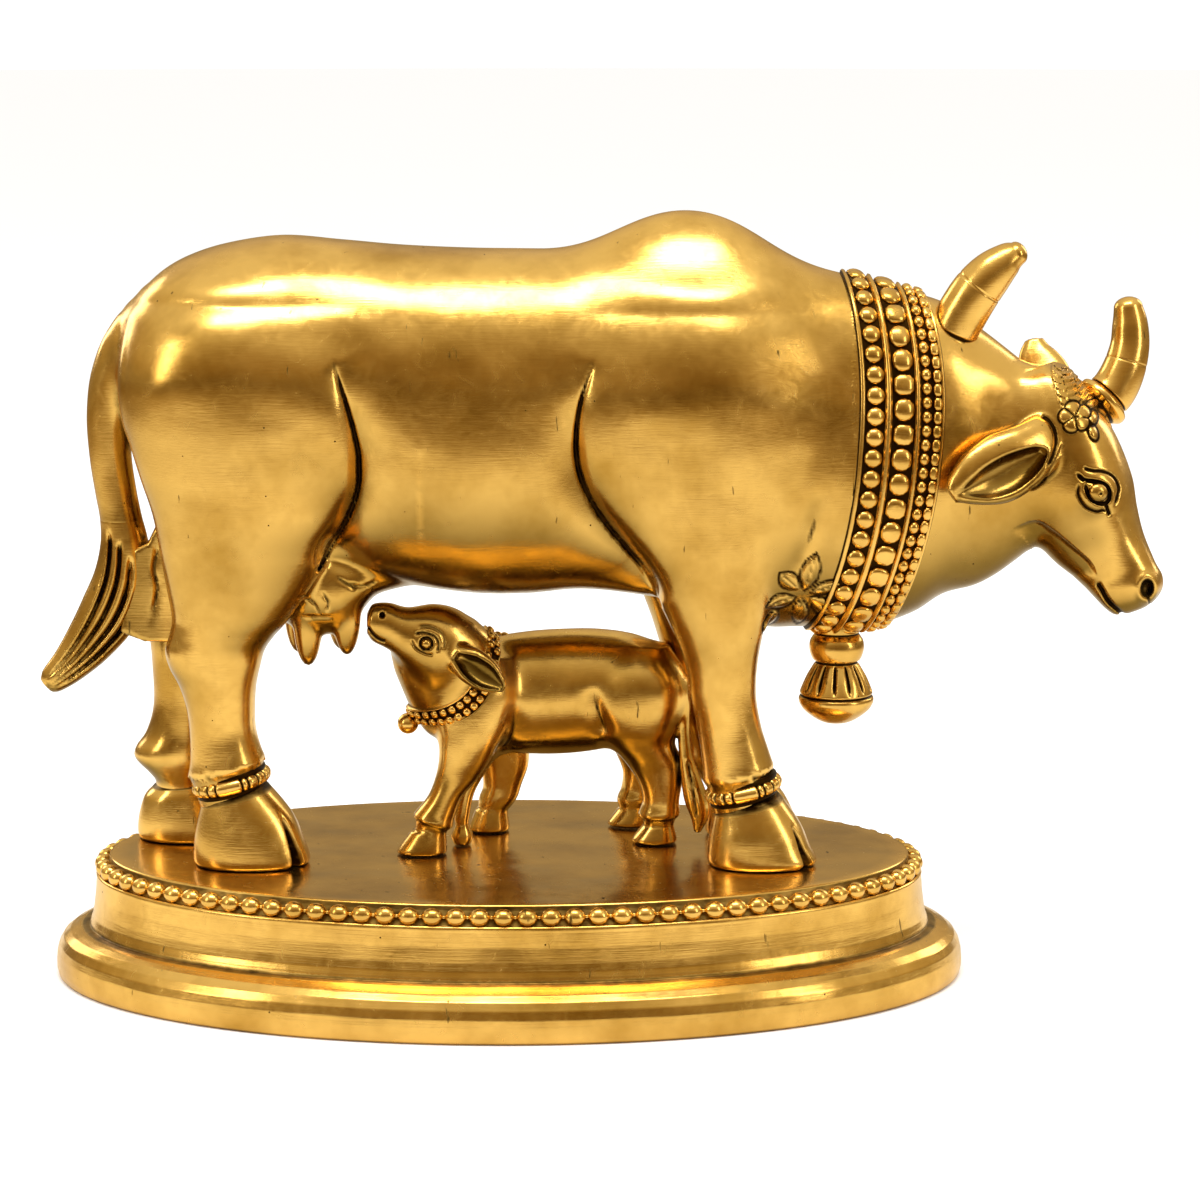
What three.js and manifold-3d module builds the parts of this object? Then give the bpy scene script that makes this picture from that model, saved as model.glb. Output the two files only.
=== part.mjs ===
// A brass statue of a hump-backed cow with her calf, standing on an oval plinth.
// Millimetres, Z up. The origin is the centre of the plinth's underside.
// The cow walks towards +X and the photographed side faces -Y.

import * as THREE from 'three';
import { mergeVertices } from 'three/addons/utils/BufferGeometryUtils.js';
import Module from 'manifold-3d';

const wasm = await Module();
wasm.setup();
const { Manifold, Mesh } = wasm;

// Plinth sizes
const PLINTH_LENGTH = 249.4;
const PLINTH_WIDTH = 151;
const PLINTH_HEIGHT = 33.5;
const LOWER_TIER_HEIGHT = 14.5;
const BEVEL_HEIGHT = 5.4;
const TIER_INSET = 9.2;
const WALL_TAPER = 2.1;
const BEVEL_INSET = 3.9;
const BEAD_DIAMETER = 6.2;
const BEAD_COUNT = 90;
const BEAD_SINK = 0.5;
const PLINTH_SIDES = 45;

// Rounded bands and hooves
const ANKLET_SECTION = [[2.2, 1.6], [1.1, 0], [-1.1, 0], [-2.2, 1.6]];
const SQUARENESS = 2.2;
const HOOF_SQUARENESS = 2.3;
const CLEFT_DEPTH = 3.2;
const CLEFT_HALF_WIDTH = 1.1;
const CLEFT_RISE = 0.8;

// The animals: one length drives both, and their soles stand this far above the plinth.
const COW_LENGTH = 303;
const SEAT_GAP = 0.3;

// The rows and places of both figures below are counted up from their soles.
// The cow comes out about 303 mm long from tuft to horn, and both are scaled to COW_LENGTH.

const BRASS = { colour: 0xd8a63c, roughness: 0.32, metalness: 1.0 };

const point = (x, y, z) => new THREE.Vector3(x, y, z);

// A closed body from a list of rings, each a loop of points. Both ends are closed by a fan,
// or, when looped is true, the last ring is joined to the first.
function skin(rings, looped = false) {
  const sides = rings[0].length;
  const places = rings.flat();
  const faces = [];
  const last = looped ? rings.length : rings.length - 1;
  for (let row = 0; row < last; row += 1) {
    for (let side = 0; side < sides; side += 1) {
      const next = (side + 1) % sides;
      const above = (row + 1) % rings.length;
      const a = row * sides + side;
      const b = row * sides + next;
      const c = above * sides + next;
      const d = above * sides + side;
      faces.push(a, b, c, a, c, d);
    }
  }
  if (!looped) {
    const first = places.length;
    places.push(middle(rings[0]), middle(rings[rings.length - 1]));
    for (let side = 0; side < sides; side += 1) {
      const next = (side + 1) % sides;
      const base = (rings.length - 1) * sides;
      faces.push(first, next, side);
      faces.push(first + 1, base + side, base + next);
    }
  }
  return solidFrom(places, faces);
}

function middle(ring) {
  const sum = point(0, 0, 0);
  ring.forEach((place) => sum.add(place));
  return sum.divideScalar(ring.length);
}

// A manifold solid from points and faces, turned outwards if it comes out inside out.
function solidFrom(places, faces) {
  const geometry = new THREE.BufferGeometry().setFromPoints(places);
  geometry.setIndex(faces);
  return fromGeometry(geometry);
}

function fromGeometry(geometry) {
  const bare = new THREE.BufferGeometry();
  bare.setAttribute('position', geometry.attributes.position);
  if (geometry.index) bare.setIndex(geometry.index);
  const merged = mergeVertices(bare, 1e-4);
  const index = Array.from(merged.index.array);
  const kept = [];
  for (let face = 0; face < index.length; face += 3) {
    const [a, b, c] = index.slice(face, face + 3);
    if (a !== b && b !== c && a !== c) kept.push(a, b, c);
  }
  const places = merged.attributes.position.array;
  const forward = new Manifold(meshOf(places, kept));
  if (forward.volume() > 0) return forward;
  const turned = [];
  for (let face = 0; face < kept.length; face += 3) {
    turned.push(kept[face], kept[face + 2], kept[face + 1]);
  }
  return new Manifold(meshOf(places, turned));
}

function meshOf(places, faces) {
  return new Mesh({
    numProp: 3,
    vertProperties: Float32Array.from(places),
    triVerts: Uint32Array.from(faces),
  });
}

function joined(solids) {
  return solids.reduce((whole, solid) => whole.add(solid));
}

// A carved body without the chips that a cut may leave beside it.
function carved(solid) {
  return solid.decompose().sort((a, b) => b.volume() - a.volume())[0];
}

// Evenly spread rows along a smooth curve through the stations, each of six numbers.
function spread(stations, steps) {
  const places = new THREE.CatmullRomCurve3(
    stations.map((row) => point(row[0], row[1], row[2])), false, 'catmullrom', 0.5);
  const sizes = new THREE.CatmullRomCurve3(
    stations.map((row) => point(row[3], row[4], row[5] ?? 0)), false, 'catmullrom', 0.5);
  const rows = [];
  for (let step = 0; step <= steps; step += 1) {
    const place = places.getPoint(step / steps);
    const size = sizes.getPoint(step / steps);
    rows.push([place.x, place.y, place.z, size.x, size.y, size.z]);
  }
  return rows;
}

// Sign-keeping power, for rounded-square rings.
function shaped(value, power) {
  return Math.sign(value) * Math.abs(value) ** (2 / power);
}

// A body lofted along X through stations [x, low, high, y, half width].
function lengthwise(stations, steps, sides, power = SQUARENESS) {
  const rows = spread(stations, steps);
  return skin(rows.map(([x, low, high, y, half]) => {
    const ring = [];
    for (let side = 0; side < sides; side += 1) {
      const turn = (2 * Math.PI * side) / sides;
      const across = shaped(Math.sin(turn), power) * half;
      const up = shaped(Math.cos(turn), power) * (high - low) / 2;
      ring.push(point(x, y + across, (low + high) / 2 + up));
    }
    return ring;
  }));
}

// A leg lofted downwards through stations [z, front, rear, y, half width, tilt].
// The tilt raises the ring's front edge by that share of its length.
function downwards(stations, steps, sides, power = SQUARENESS) {
  const rows = spread(stations, steps);
  return skin(rows.map(([z, front, rear, y, half, tilt]) => {
    const ring = [];
    for (let side = 0; side < sides; side += 1) {
      const turn = (2 * Math.PI * side) / sides;
      const along = shaped(Math.cos(turn), power) * (front - rear) / 2;
      const across = shaped(Math.sin(turn), power) * half;
      ring.push(point((front + rear) / 2 + along, y + across, z + along * tilt));
    }
    return ring;
  }));
}

// A rounded limb along a curve through stations [x, y, z, half height, half width].
// The half width is measured along Y as far as the curve allows.
function limb(stations, steps, sides) {
  const rows = spread(stations, steps);
  const rings = [];
  rows.forEach(([x, y, z, tall, wide], step) => {
    const before = rows[Math.max(step - 1, 0)];
    const after = rows[Math.min(step + 1, rows.length - 1)];
    const ahead = point(after[0] - before[0], after[1] - before[1], after[2] - before[2]).normalize();
    const across = point(0, 1, 0).addScaledVector(ahead, -ahead.y).normalize();
    const up = point(0, 0, 0).crossVectors(ahead, across);
    const ring = [];
    for (let side = 0; side < sides; side += 1) {
      const turn = (2 * Math.PI * side) / sides;
      ring.push(point(x, y, z)
        .addScaledVector(up, Math.cos(turn) * tall)
        .addScaledVector(across, Math.sin(turn) * wide));
    }
    rings.push(ring);
  });
  return skin(rings);
}

// An egg-shaped body of the three half sizes, turned about Z by the degrees given.
function egg(centre, halves, turn, across, tall) {
  const geometry = new THREE.SphereGeometry(1, across, tall);
  geometry.scale(halves[0], halves[1], halves[2]);
  geometry.rotateZ(THREE.MathUtils.degToRad(turn));
  geometry.translate(centre[0], centre[1], centre[2]);
  return fromGeometry(geometry);
}

// A bead as a double pyramid, its points set along the outward, sideways and upward directions.
function bead(centre, radius, outward, sideways) {
  const upward = point(0, 0, 0).crossVectors(outward, sideways).normalize();
  const geometry = new THREE.OctahedronGeometry(radius, 0);
  const place = new THREE.Matrix4().makeBasis(outward, sideways, upward);
  geometry.applyMatrix4(place.setPosition(centre));
  return fromGeometry(geometry);
}

// A turned body from a profile of [radius, z] pairs that starts and ends on the axis.
function turned(profile, centre, sides) {
  const outline = profile.map(([radius, z]) => new THREE.Vector2(radius, z));
  const geometry = new THREE.LatheGeometry(outline, sides);
  geometry.rotateX(Math.PI / 2);
  geometry.translate(centre[0], centre[1], 0);
  return fromGeometry(geometry);
}

// A rounded band around a leg: [z, front, rear, y, half width, tilt] of its widest line.
function anklet([z, front, rear, y, half, tilt]) {
  const rows = ANKLET_SECTION.map(([height, inset]) => (
    [z + height, front - inset, rear + inset, y, half - inset, tilt]
  ));
  return downwards(rows, rows.length - 1, 10);
}

// A hoof from its stations, with the cleft between its two toes cut up the front.
function hoof(stations, cleftShift) {
  const block = downwards(stations, stations.length - 1, 8, HOOF_SQUARENESS);
  const [height, coronet] = stations[0];
  const [, toe, , y] = stations[stations.length - 2];
  const top = height * CLEFT_RISE;
  const across = y + cleftShift;
  const cleft = limb([
    [toe + 0.6, across, -1, CLEFT_DEPTH, CLEFT_HALF_WIDTH],
    [toe - 0.2, across, top / 2, CLEFT_DEPTH * 0.8, CLEFT_HALF_WIDTH * 0.7],
    [(toe + coronet) / 2 + 0.8, across, top, CLEFT_DEPTH * 0.4, CLEFT_HALF_WIDTH * 0.3],
  ], 2, 4);
  return carved(block.subtract(cleft));
}

// One finished piece with its name and brass.
function piece(name, solid) {
  const mesh = solid.getMesh();
  const geometry = new THREE.BufferGeometry();
  const places = new Float32Array(mesh.numVert * 3);
  for (let vertex = 0; vertex < mesh.numVert; vertex += 1) {
    for (let axis = 0; axis < 3; axis += 1) {
      places[vertex * 3 + axis] = mesh.vertProperties[vertex * mesh.numProp + axis];
    }
  }
  geometry.setAttribute('position', new THREE.BufferAttribute(places, 3));
  geometry.setIndex(Array.from(mesh.triVerts));
  const shown = new THREE.Mesh(geometry, new THREE.MeshStandardMaterial({
    color: BRASS.colour, roughness: BRASS.roughness, metalness: BRASS.metalness,
  }));
  shown.name = name;
  return shown;
}

// Plinth: two oval tiers, the lower with a rounded shoulder, and a row of beads on the top bevel.
function ovalRing(z, inset) {
  const ring = [];
  for (let side = 0; side < PLINTH_SIDES; side += 1) {
    const turn = (2 * Math.PI * side) / PLINTH_SIDES;
    ring.push(point(
      (PLINTH_LENGTH / 2 - inset) * Math.cos(turn),
      (PLINTH_WIDTH / 2 - inset) * Math.sin(turn),
      z));
  }
  return ring;
}

function plinth() {
  const wallTop = PLINTH_HEIGHT - BEVEL_HEIGHT;
  const topInset = TIER_INSET + WALL_TAPER;
  const body = skin([
    ovalRing(0, 0),
    ovalRing(LOWER_TIER_HEIGHT * 0.55, 0),
    ovalRing(LOWER_TIER_HEIGHT * 0.9, TIER_INSET * 0.32),
    ovalRing(LOWER_TIER_HEIGHT, TIER_INSET),
    ovalRing(wallTop, topInset),
    ovalRing(PLINTH_HEIGHT, topInset + BEVEL_INSET),
  ]);
  const inset = topInset + BEVEL_INSET / 2;
  const line = new THREE.EllipseCurve(
    0, 0, PLINTH_LENGTH / 2 - inset, PLINTH_WIDTH / 2 - inset, 0, 2 * Math.PI);
  line.arcLengthDivisions = 2000;
  const beads = [];
  for (let step = 0; step < BEAD_COUNT; step += 1) {
    const share = (step + 0.5) / BEAD_COUNT;
    const place = line.getPointAt(share);
    const heading = line.getTangentAt(share);
    const sideways = point(heading.x, heading.y, 0);
    const outward = point(heading.y * BEVEL_HEIGHT, -heading.x * BEVEL_HEIGHT, BEVEL_INSET);
    outward.normalize();
    const centre = point(place.x, place.y, PLINTH_HEIGHT - BEVEL_HEIGHT / 2);
    centre.addScaledVector(outward, -BEAD_SINK);
    beads.push(bead(centre, BEAD_DIAMETER / 2, outward, sideways));
  }
  return joined([body, ...beads]);
}

// Cow's trunk and neck: [x, low, high, y, half width], and the hump on her back
const TRUNK = [
  [-104.5, 126, 142, 0, 6],
  [-101, 114, 151, 0, 14],
  [-95, 104, 157, 0, 21.5],
  [-86, 92, 162.6, 0, 26.5],
  [-75, 84, 166.6, 0, 29.5],
  [-60, 80, 168.8, 0, 31.5],
  [-44, 78.5, 167.6, 0, 32.5],
  [-28, 74.6, 165.8, 0, 33],
  [-10, 72, 165, 0, 33],
  [5, 71.8, 165, 0, 32.5],
  [20, 73, 167, 0, 31.5],
  [35, 71.5, 169.5, 0, 30.5],
  [48, 69, 170, 0, 29.5],
  [60, 65, 168.5, 0, 28.5],
  [70, 62.5, 166, 0, 27.5],
  [80, 62.5, 162.2, 0, 26.5],
  [90, 62, 158.2, 0, 25.5],
  [100, 63, 155.5, 0, 24.5],
  [110, 66.5, 152.8, 0, 23],
  [118, 71.5, 150, 0, 21],
  [127, 73.5, 143.6, 0, 18.5],
  [135, 77.5, 137.5, -1, 16],
  [143, 84, 131, -3, 13],
  [149, 100, 126, -5, 8],
];

const HUMP = { centre: [47, 0, 150], halves: [30, 15, 25.4] };

// Near hind leg: [z, front, rear, y, half width, tilt]
const NEAR_HIND = [
  [152, -58, -84, -12, 8, 0],
  [145, -50, -92, -16, 13, 0],
  [134, -43.5, -97.5, -18, 15.5, 0],
  [122, -39, -99, -18.3, 16, 0],
  [109, -37, -97.8, -18.2, 16, 0],
  [96, -39.5, -94, -17.7, 15.5, 0],
  [85, -46.4, -91.5, -17, 14.3, 0],
  [76, -52, -89.5, -16.5, 13, 0],
  [68, -57.5, -87.6, -16, 12, 0],
  [60, -63, -86.3, -15.7, 11, 0],
  [48, -65.4, -85.2, -15.5, 10.2, 0],
  [37, -65.3, -85, -15.5, 10, 0.05],
  [29, -65, -85.6, -15.5, 10.3, 0.2],
  [25.5, -65.3, -85.4, -15.5, 10.1, 0.22],
  [15, -66, -82, -15.5, 8, 0.24],
];

const FAR_HIND = [
  [152, -58, -84, 12, 8, 0],
  [145, -50, -92, 16, 13, 0],
  [134, -43.5, -97, 18, 15.5, 0],
  [122, -40, -98.5, 18.3, 16, 0],
  [109, -41, -97.5, 18.2, 16, 0],
  [96, -46, -94.5, 17.7, 15.5, 0],
  [85, -54, -94, 17, 14.3, 0],
  [76, -62, -95.5, 16.5, 13, 0],
  [68, -69, -98, 16, 12, 0],
  [60, -75, -99.6, 15.7, 11, 0],
  [50, -79, -99, 15.5, 10.2, 0],
  [38, -80.5, -98.8, 15.5, 10, 0],
  [30, -80.5, -100.5, 15.5, 10, 0],
  [24, -80.5, -104, 15.5, 10.4, 0],
  [19, -82.5, -104, 15.5, 10, 0],
  [12, -83, -101, 15.5, 8.6, 0.1],
];

const NEAR_FRONT = [
  [150, 64, 36, -12, 8, 0],
  [142, 71, 28.5, -15.5, 11.5, 0],
  [130, 75, 22, -17, 14, 0],
  [115, 77, 19, -17, 14.8, 0],
  [101, 76.5, 20.8, -17, 14.6, 0],
  [91, 75, 26, -16.8, 14, 0],
  [77, 71.5, 37.5, -16.3, 12.8, 0],
  [65, 69, 44, -16, 11.8, 0],
  [55, 67.3, 47.8, -15.7, 10.6, 0],
  [46, 67, 49.5, -15.5, 10, 0],
  [37, 68.5, 51.3, -15.5, 9.8, 0.05],
  [29, 70.6, 52.6, -15.5, 10, 0.2],
  [24, 71.6, 53.2, -15.5, 10.2, 0.25],
  [12, 71.5, 56.5, -15.5, 8, 0.22],
];

const FAR_FRONT = [
  [150, 64, 36, 12, 8, 0],
  [142, 71, 28.5, 15.5, 11.5, 0],
  [130, 75, 22, 17, 14, 0],
  [115, 77, 19, 17, 14.8, 0],
  [101, 76, 20.8, 17.2, 14.4, 0],
  [91, 73.5, 25, 17.6, 13.6, 0],
  [77, 69, 33, 18.6, 11.8, 0],
  [65, 65.5, 38, 19.2, 10.4, 0],
  [55, 63.5, 41.3, 19.5, 9.6, 0],
  [46, 63.5, 44, 19.5, 9.4, 0],
  [37, 65.5, 46.6, 19.2, 9.6, 0.05],
  [28, 68.5, 49.5, 18.8, 9.8, 0.2],
  [22.5, 69.5, 50.5, 18.5, 10, 0.25],
  [12, 70, 56.5, 18.5, 8, 0.2],
];

// Hooves: the same six numbers, from the coronet down to the sole
const NEAR_HIND_HOOF = [
  [19.3, -63.9, -82.6, -15.5, 9, 0.26],
  [12, -58.2, -84.2, -15.5, 10.2, 0.12],
  [6, -55, -84.9, -15.5, 10.9, 0],
  [1.4, -53.6, -85, -15.5, 11.2, 0],
  [0, -54.4, -84.2, -15.5, 10.6, 0],
];

const FAR_HIND_HOOF = [
  [14.6, -83, -100.4, 15.5, 9, 0.1],
  [11, -79.5, -103, 15.5, 10, 0.05],
  [6, -75, -103.6, 15.5, 10.8, 0],
  [1.4, -73, -103.9, 15.5, 11.1, 0],
  [0, -73.8, -103.2, 15.5, 10.5, 0],
];

const NEAR_FRONT_HOOF = [
  [16.6, 73.9, 55.8, -15.8, 9, 0.23],
  [10, 79, 54.7, -15.8, 10.6, 0.1],
  [5, 81.8, 54.1, -15.8, 11.3, 0],
  [1.4, 83.6, 54, -15.8, 11.6, 0],
  [0, 82.8, 54.8, -15.8, 11, 0],
];

const FAR_FRONT_HOOF = [
  [16, 71, 55.5, 18.5, 9, 0.2],
  [10, 76.5, 55, 18.5, 10.4, 0.1],
  [5, 79.5, 54.6, 18.5, 11, 0],
  [1.4, 81, 54.4, 18.5, 11.2, 0],
  [0, 80.2, 55.2, 18.5, 10.6, 0],
];

// Bands on the two near legs: [z, front, rear, y, half width, tilt]
const ANKLETS = [
  [21.8, -64, -85, -15.5, 10.6, 0.23],
  [19.9, 73.8, 53.6, -15.5, 10.4, 0.24],
];

// Tail, from the rump to the tip of the tuft: [x, y, z, half height, half width]
const TAIL = [
  [-94, 0, 149, 5, 8],
  [-102.4, 0, 141, 6.2, 7.6],
  [-107.2, 0, 131, 6, 7],
  [-108.7, 0, 120, 5.9, 6.5],
  [-108, 0, 109, 5.6, 6.2],
  [-106.6, 0, 100, 5.5, 6.2],
  [-105.2, 0, 92, 5.6, 6.4],
  [-104.4, 0, 84, 6.6, 6.8],
  [-105.6, 0, 75, 7.7, 7.2],
  [-108.6, 0, 66.5, 8.1, 7.2],
  [-113.2, 0, 58.5, 7, 6.4],
  [-118.8, 0, 51.8, 5.2, 5],
  [-124, 0, 47, 3.1, 3.2],
  [-126.6, 0, 45.2, 1.4, 1.6],
];

// Grooves between the tuft's locks: [share of the tail's half height, first station]
const TUFT_GROOVES = [
  [-0.5, 8],
  [0, 7],
  [0.5, 8],
];
// The direction across the tuft at its first and last stations, from the -X axis downwards
const TUFT_TURN = [0.39, 1.03];
const GROOVE_HALF_WIDTH = 0.9;
const GROOVE_DEPTH = 2.2;

// The trunk's row of numbers at a given x
function trunkAt(x, rows) {
  let row = 0;
  while (row < rows.length - 2 && rows[row + 1][0] < x) row += 1;
  const [a, b] = [rows[row], rows[row + 1]];
  const share = (x - a[0]) / (b[0] - a[0]);
  return a.map((value, at) => value + (b[at] - value) * share);
}

// Collar: its line runs from the throat up and forward, and bows ahead at the sides.
const COLLAR_THROAT_X = 80.5;
const COLLAR_CREST_LEAD = 9;
const COLLAR_SIDE_LEAD = 7.8;
const COLLAR_SIDE_BEND = 1.7;

// Where the neck's skin is, a given height above it, at an angle round from the crest.
function neckSkin(rows, turn, offset, height) {
  const crest = (1 + Math.cos(turn)) / 2;
  const side = Math.abs(Math.sin(turn)) ** COLLAR_SIDE_BEND;
  const x = COLLAR_THROAT_X + COLLAR_CREST_LEAD * crest + COLLAR_SIDE_LEAD * side + offset;
  const [, low, high, y, half] = trunkAt(x, rows);
  const across = shaped(Math.sin(turn), SQUARENESS) * (half + height);
  const up = shaped(Math.cos(turn), SQUARENESS) * ((high - low) / 2 + height);
  return point(x, y - across, (low + high) / 2 + up);
}

// Across the collar: a row of round beads, a rib, a row of ovals, a second rib and an edging.
const COLLAR_WIDTH = 22;
const ROUND_BEADS = 44;
const OVAL_BEADS = 32;
const ROUND_LINE = 3.7;
const OVAL_LINE = 11.5;

function collarSection(step, steps) {
  const round = step % 2 === 0 ? 0.5 : 2.8;
  const oval = 0.7 + 1.6 * Math.abs(Math.sin((Math.PI * OVAL_BEADS * step) / steps));
  return [
    [0, -1], [ROUND_LINE, round], [7.5, 1.7], [OVAL_LINE, oval], [15.4, 1.7], [20, 2],
    [COLLAR_WIDTH, -1],
  ];
}

function collar(rows) {
  const steps = 2 * ROUND_BEADS;
  const turns = evenTurns(rows, ROUND_LINE, steps);
  return skin(turns.map((turn, step) => (
    collarSection(step, steps).map(([offset, height]) => neckSkin(rows, turn, offset, height))
  )), true);
}

// Angles round the neck at which points on the given line are evenly spaced.
function evenTurns(rows, offset, count) {
  const fine = 720;
  const turns = [];
  const lengths = [0];
  let before = neckSkin(rows, 0, offset, 0);
  for (let step = 1; step <= fine; step += 1) {
    const here = neckSkin(rows, (2 * Math.PI * step) / fine, offset, 0);
    lengths.push(lengths[step - 1] + here.distanceTo(before));
    before = here;
  }
  let at = 0;
  for (let number = 0; number < count; number += 1) {
    while (lengths[at] < (lengths[fine] * number) / count) at += 1;
    turns.push((2 * Math.PI * at) / fine);
  }
  return turns;
}

// The bell under the collar: a knob, a fluted skirt and a domed underside
const BELL_X = 89.5;
const BELL_PROFILE = [
  [0, 35.5], [5.4, 36.6], [8.8, 40.4], [9.8, 43.6], [8, 47.8],
  [5.6, 52.4], [6.9, 55], [6.9, 58], [4.6, 61], [4.6, 66], [0, 66],
];

// Head: rings across a tilted axis, [along, 0, 0, front, back, half width]
const HEAD_ORIGIN = point(149, -6, 122);
const HEAD_PITCH = 70;
const HEAD_YAW = 21;
const EYE_RADIUS = 2.8;
const EYE_ALONG = 24;
const EYE_FRONT = 6.8;
const EYE_SIDE = 11.8;
const HEAD = [
  [-13, 0, 0, 1, 5, 5],
  [-9, 0, 0, 4.5, 9, 9],
  [0, 0, 0, 8, 13, 12],
  [9, 0, 0, 10.2, 16, 13.2],
  [20, 0, 0, 10.8, 18.5, 14.2],
  [29, 0, 0, 10.4, 17.2, 12.4],
  [37, 0, 0, 11, 12, 9.8],
  [45.5, 0, 0, 11.5, 7.8, 8.1],
  [52, 0, 0, 11.2, 5.6, 7.9],
  [55.6, 0, 0, 8, 4, 6],
  [56.8, 0, 0, 4.5, 2, 3.4],
];

function headFrame() {
  const pitch = THREE.MathUtils.degToRad(HEAD_PITCH);
  const yaw = THREE.MathUtils.degToRad(HEAD_YAW);
  const along = point(
    Math.cos(pitch) * Math.cos(yaw), -Math.cos(pitch) * Math.sin(yaw), -Math.sin(pitch));
  const front = point(
    Math.sin(pitch) * Math.cos(yaw), -Math.sin(pitch) * Math.sin(yaw), Math.cos(pitch));
  const near = point(-Math.sin(yaw), -Math.cos(yaw), 0);
  return { along, front, near };
}

// A place in the head's own measure: along the face, out of it, and towards the near side.
function headPlace(along, front, near) {
  const frame = headFrame();
  return HEAD_ORIGIN.clone()
    .addScaledVector(frame.along, along)
    .addScaledVector(frame.front, front)
    .addScaledVector(frame.near, near);
}

function head() {
  const sides = 10;
  const frame = headFrame();
  const rings = spread(HEAD, 9).map(([along, , , front, back, half]) => {
    const ring = [];
    for (let side = 0; side < sides; side += 1) {
      const turn = (2 * Math.PI * side) / sides;
      const out = shaped(Math.cos(turn), 2.3);
      const across = shaped(Math.sin(turn), 2.3) * half;
      ring.push(headPlace(along, out > 0 ? out * front : out * back, across));
    }
    return ring;
  });
  const parts = [skin(rings)];
  for (const side of [1, -1]) {
    const eye = headPlace(EYE_ALONG, EYE_FRONT, side * EYE_SIDE);
    parts.push(bead(eye, EYE_RADIUS, frame.near, frame.front));
  }
  return joined(parts);
}

// Ears: long leaves with a hollowed face. [x, y, z, half height, half width]
const NEAR_EAR = [
  [146, -14, 119, 3, 2.5],
  [142.5, -18, 116.5, 7, 3.4],
  [135, -21.5, 110.8, 8.6, 3.6],
  [126.5, -24, 105.6, 7, 3],
  [120, -25.6, 102.3, 3.8, 2.2],
  [116.4, -26.4, 101, 1, 1],
];
const EAR_HOLLOW_SHARE = 0.62;
const FAR_EAR = [
  [147, 4, 121, 4, 3],
  [146.5, 10, 124, 6.5, 3.4],
  [146, 15, 128.5, 6.5, 3],
  [145.5, 19, 133.5, 4.6, 2.4],
  [145, 22, 138, 1.2, 1],
];

// Horns: [x, y, z, half height, half width]
const LEFT_HORN = [
  [118.5, -7, 142.5, 7, 7],
  [121.8, -8, 149, 6.8, 6.4],
  [125.6, -9, 155.8, 6, 5.8],
  [130, -9.5, 160.8, 4.7, 4.6],
  [134.2, -9.8, 164.1, 3.2, 3.2],
  [136.6, -9.9, 165.8, 1.6, 1.6],
];
const RIGHT_HORN = [
  [154, 1.5, 117.5, 6.6, 6.2],
  [160.8, 3, 122.8, 6.6, 6.2],
  [165.8, 4, 128.6, 6, 6],
  [168, 4.6, 136.4, 5.4, 5.4],
  [167.4, 5, 143.8, 4.6, 4.6],
  [166.6, 5, 149.4, 3.4, 3.4],
  [166.4, 5, 151.8, 1.4, 1.4],
];
const HORN_COLLAR = [
  [156.6, 2, 119.6, 7.6, 7.2],
  [158.8, 2.5, 121.4, 7.8, 7.4],
  [160.2, 2.8, 122.6, 7.2, 6.8],
];

// The flower on the brow, beside the near horn
const FLOWER = { centre: [151.6, -17.6, 121.6], halves: [3.8, 2.6, 3.8], turn: 15 };

// Udder: [x, low, high, y, half width]
const UDDER = [
  [-67, 72, 80, -2, 5],
  [-62, 65, 85, -2, 11],
  [-52, 60.8, 88, -2, 14],
  [-45, 61.5, 88, -2, 13.5],
  [-40, 66.5, 87, -2, 12.5],
  [-35.5, 71.4, 86, -2, 11],
  [-29, 73.6, 84, -2, 8],
  [-24, 76, 82, -2, 4],
];

const TEAT_PROFILE = [[0, 52.9], [2.2, 53.8], [4, 63], [4, 70], [0, 70]];
// Each teat: [x, y, how far it is raised]
const TEATS = [
  [-53.9, -8.5, 0],
  [-43.4, -8.5, 3],
  [-57.5, 5, 1],
  [-46, 5, 2],
];

function cow() {
  const rows = spread(TRUNK, 30);
  const parts = [lengthwise(TRUNK, 19, 14)];
  parts.push(egg(HUMP.centre, HUMP.halves, 0, 10, 6));
  parts.push(downwards(NEAR_HIND, 10, 8));
  parts.push(downwards(FAR_HIND, 10, 8));
  parts.push(downwards(NEAR_FRONT, 9, 8));
  parts.push(downwards(FAR_FRONT, 9, 8));
  parts.push(hoof(NEAR_HIND_HOOF, -4.5));
  parts.push(hoof(FAR_HIND_HOOF, 4.5));
  parts.push(hoof(NEAR_FRONT_HOOF, -4.5));
  parts.push(hoof(FAR_FRONT_HOOF, 4.5));
  ANKLETS.forEach((row) => parts.push(anklet(row)));
  parts.push(tail());
  parts.push(web());
  parts.push(collar(rows));
  parts.push(turned(BELL_PROFILE, [BELL_X, 0], 8));
  parts.push(head());
  parts.push(ear(NEAR_EAR, 3.4));
  parts.push(limb(FAR_EAR, 4, 6));
  parts.push(limb(LEFT_HORN, 5, 7));
  parts.push(limb(RIGHT_HORN, 6, 7));
  parts.push(limb(HORN_COLLAR, 2, 7));
  parts.push(egg(FLOWER.centre, FLOWER.halves, FLOWER.turn, 5, 3));
  parts.push(lengthwise(UDDER, 6, 8));
  TEATS.forEach(([x, y, raised]) => parts.push(teat(x, y, raised)));
  return joined(parts);
}

function teat(x, y, raised) {
  return turned(TEAT_PROFILE.map(([radius, z]) => [radius, z + raised]), [x, y], 5);
}

// A leaf with its near face hollowed by the given depth
function ear(stations, depth) {
  const leaf = limb(stations, 5, 6);
  const hollow = limb(stations.slice(1).map(([x, y, z, tall, wide]) => (
    [x, y - depth, z, tall * EAR_HOLLOW_SHARE, wide]
  )), 3, 4);
  return carved(leaf.subtract(hollow));
}

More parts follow.
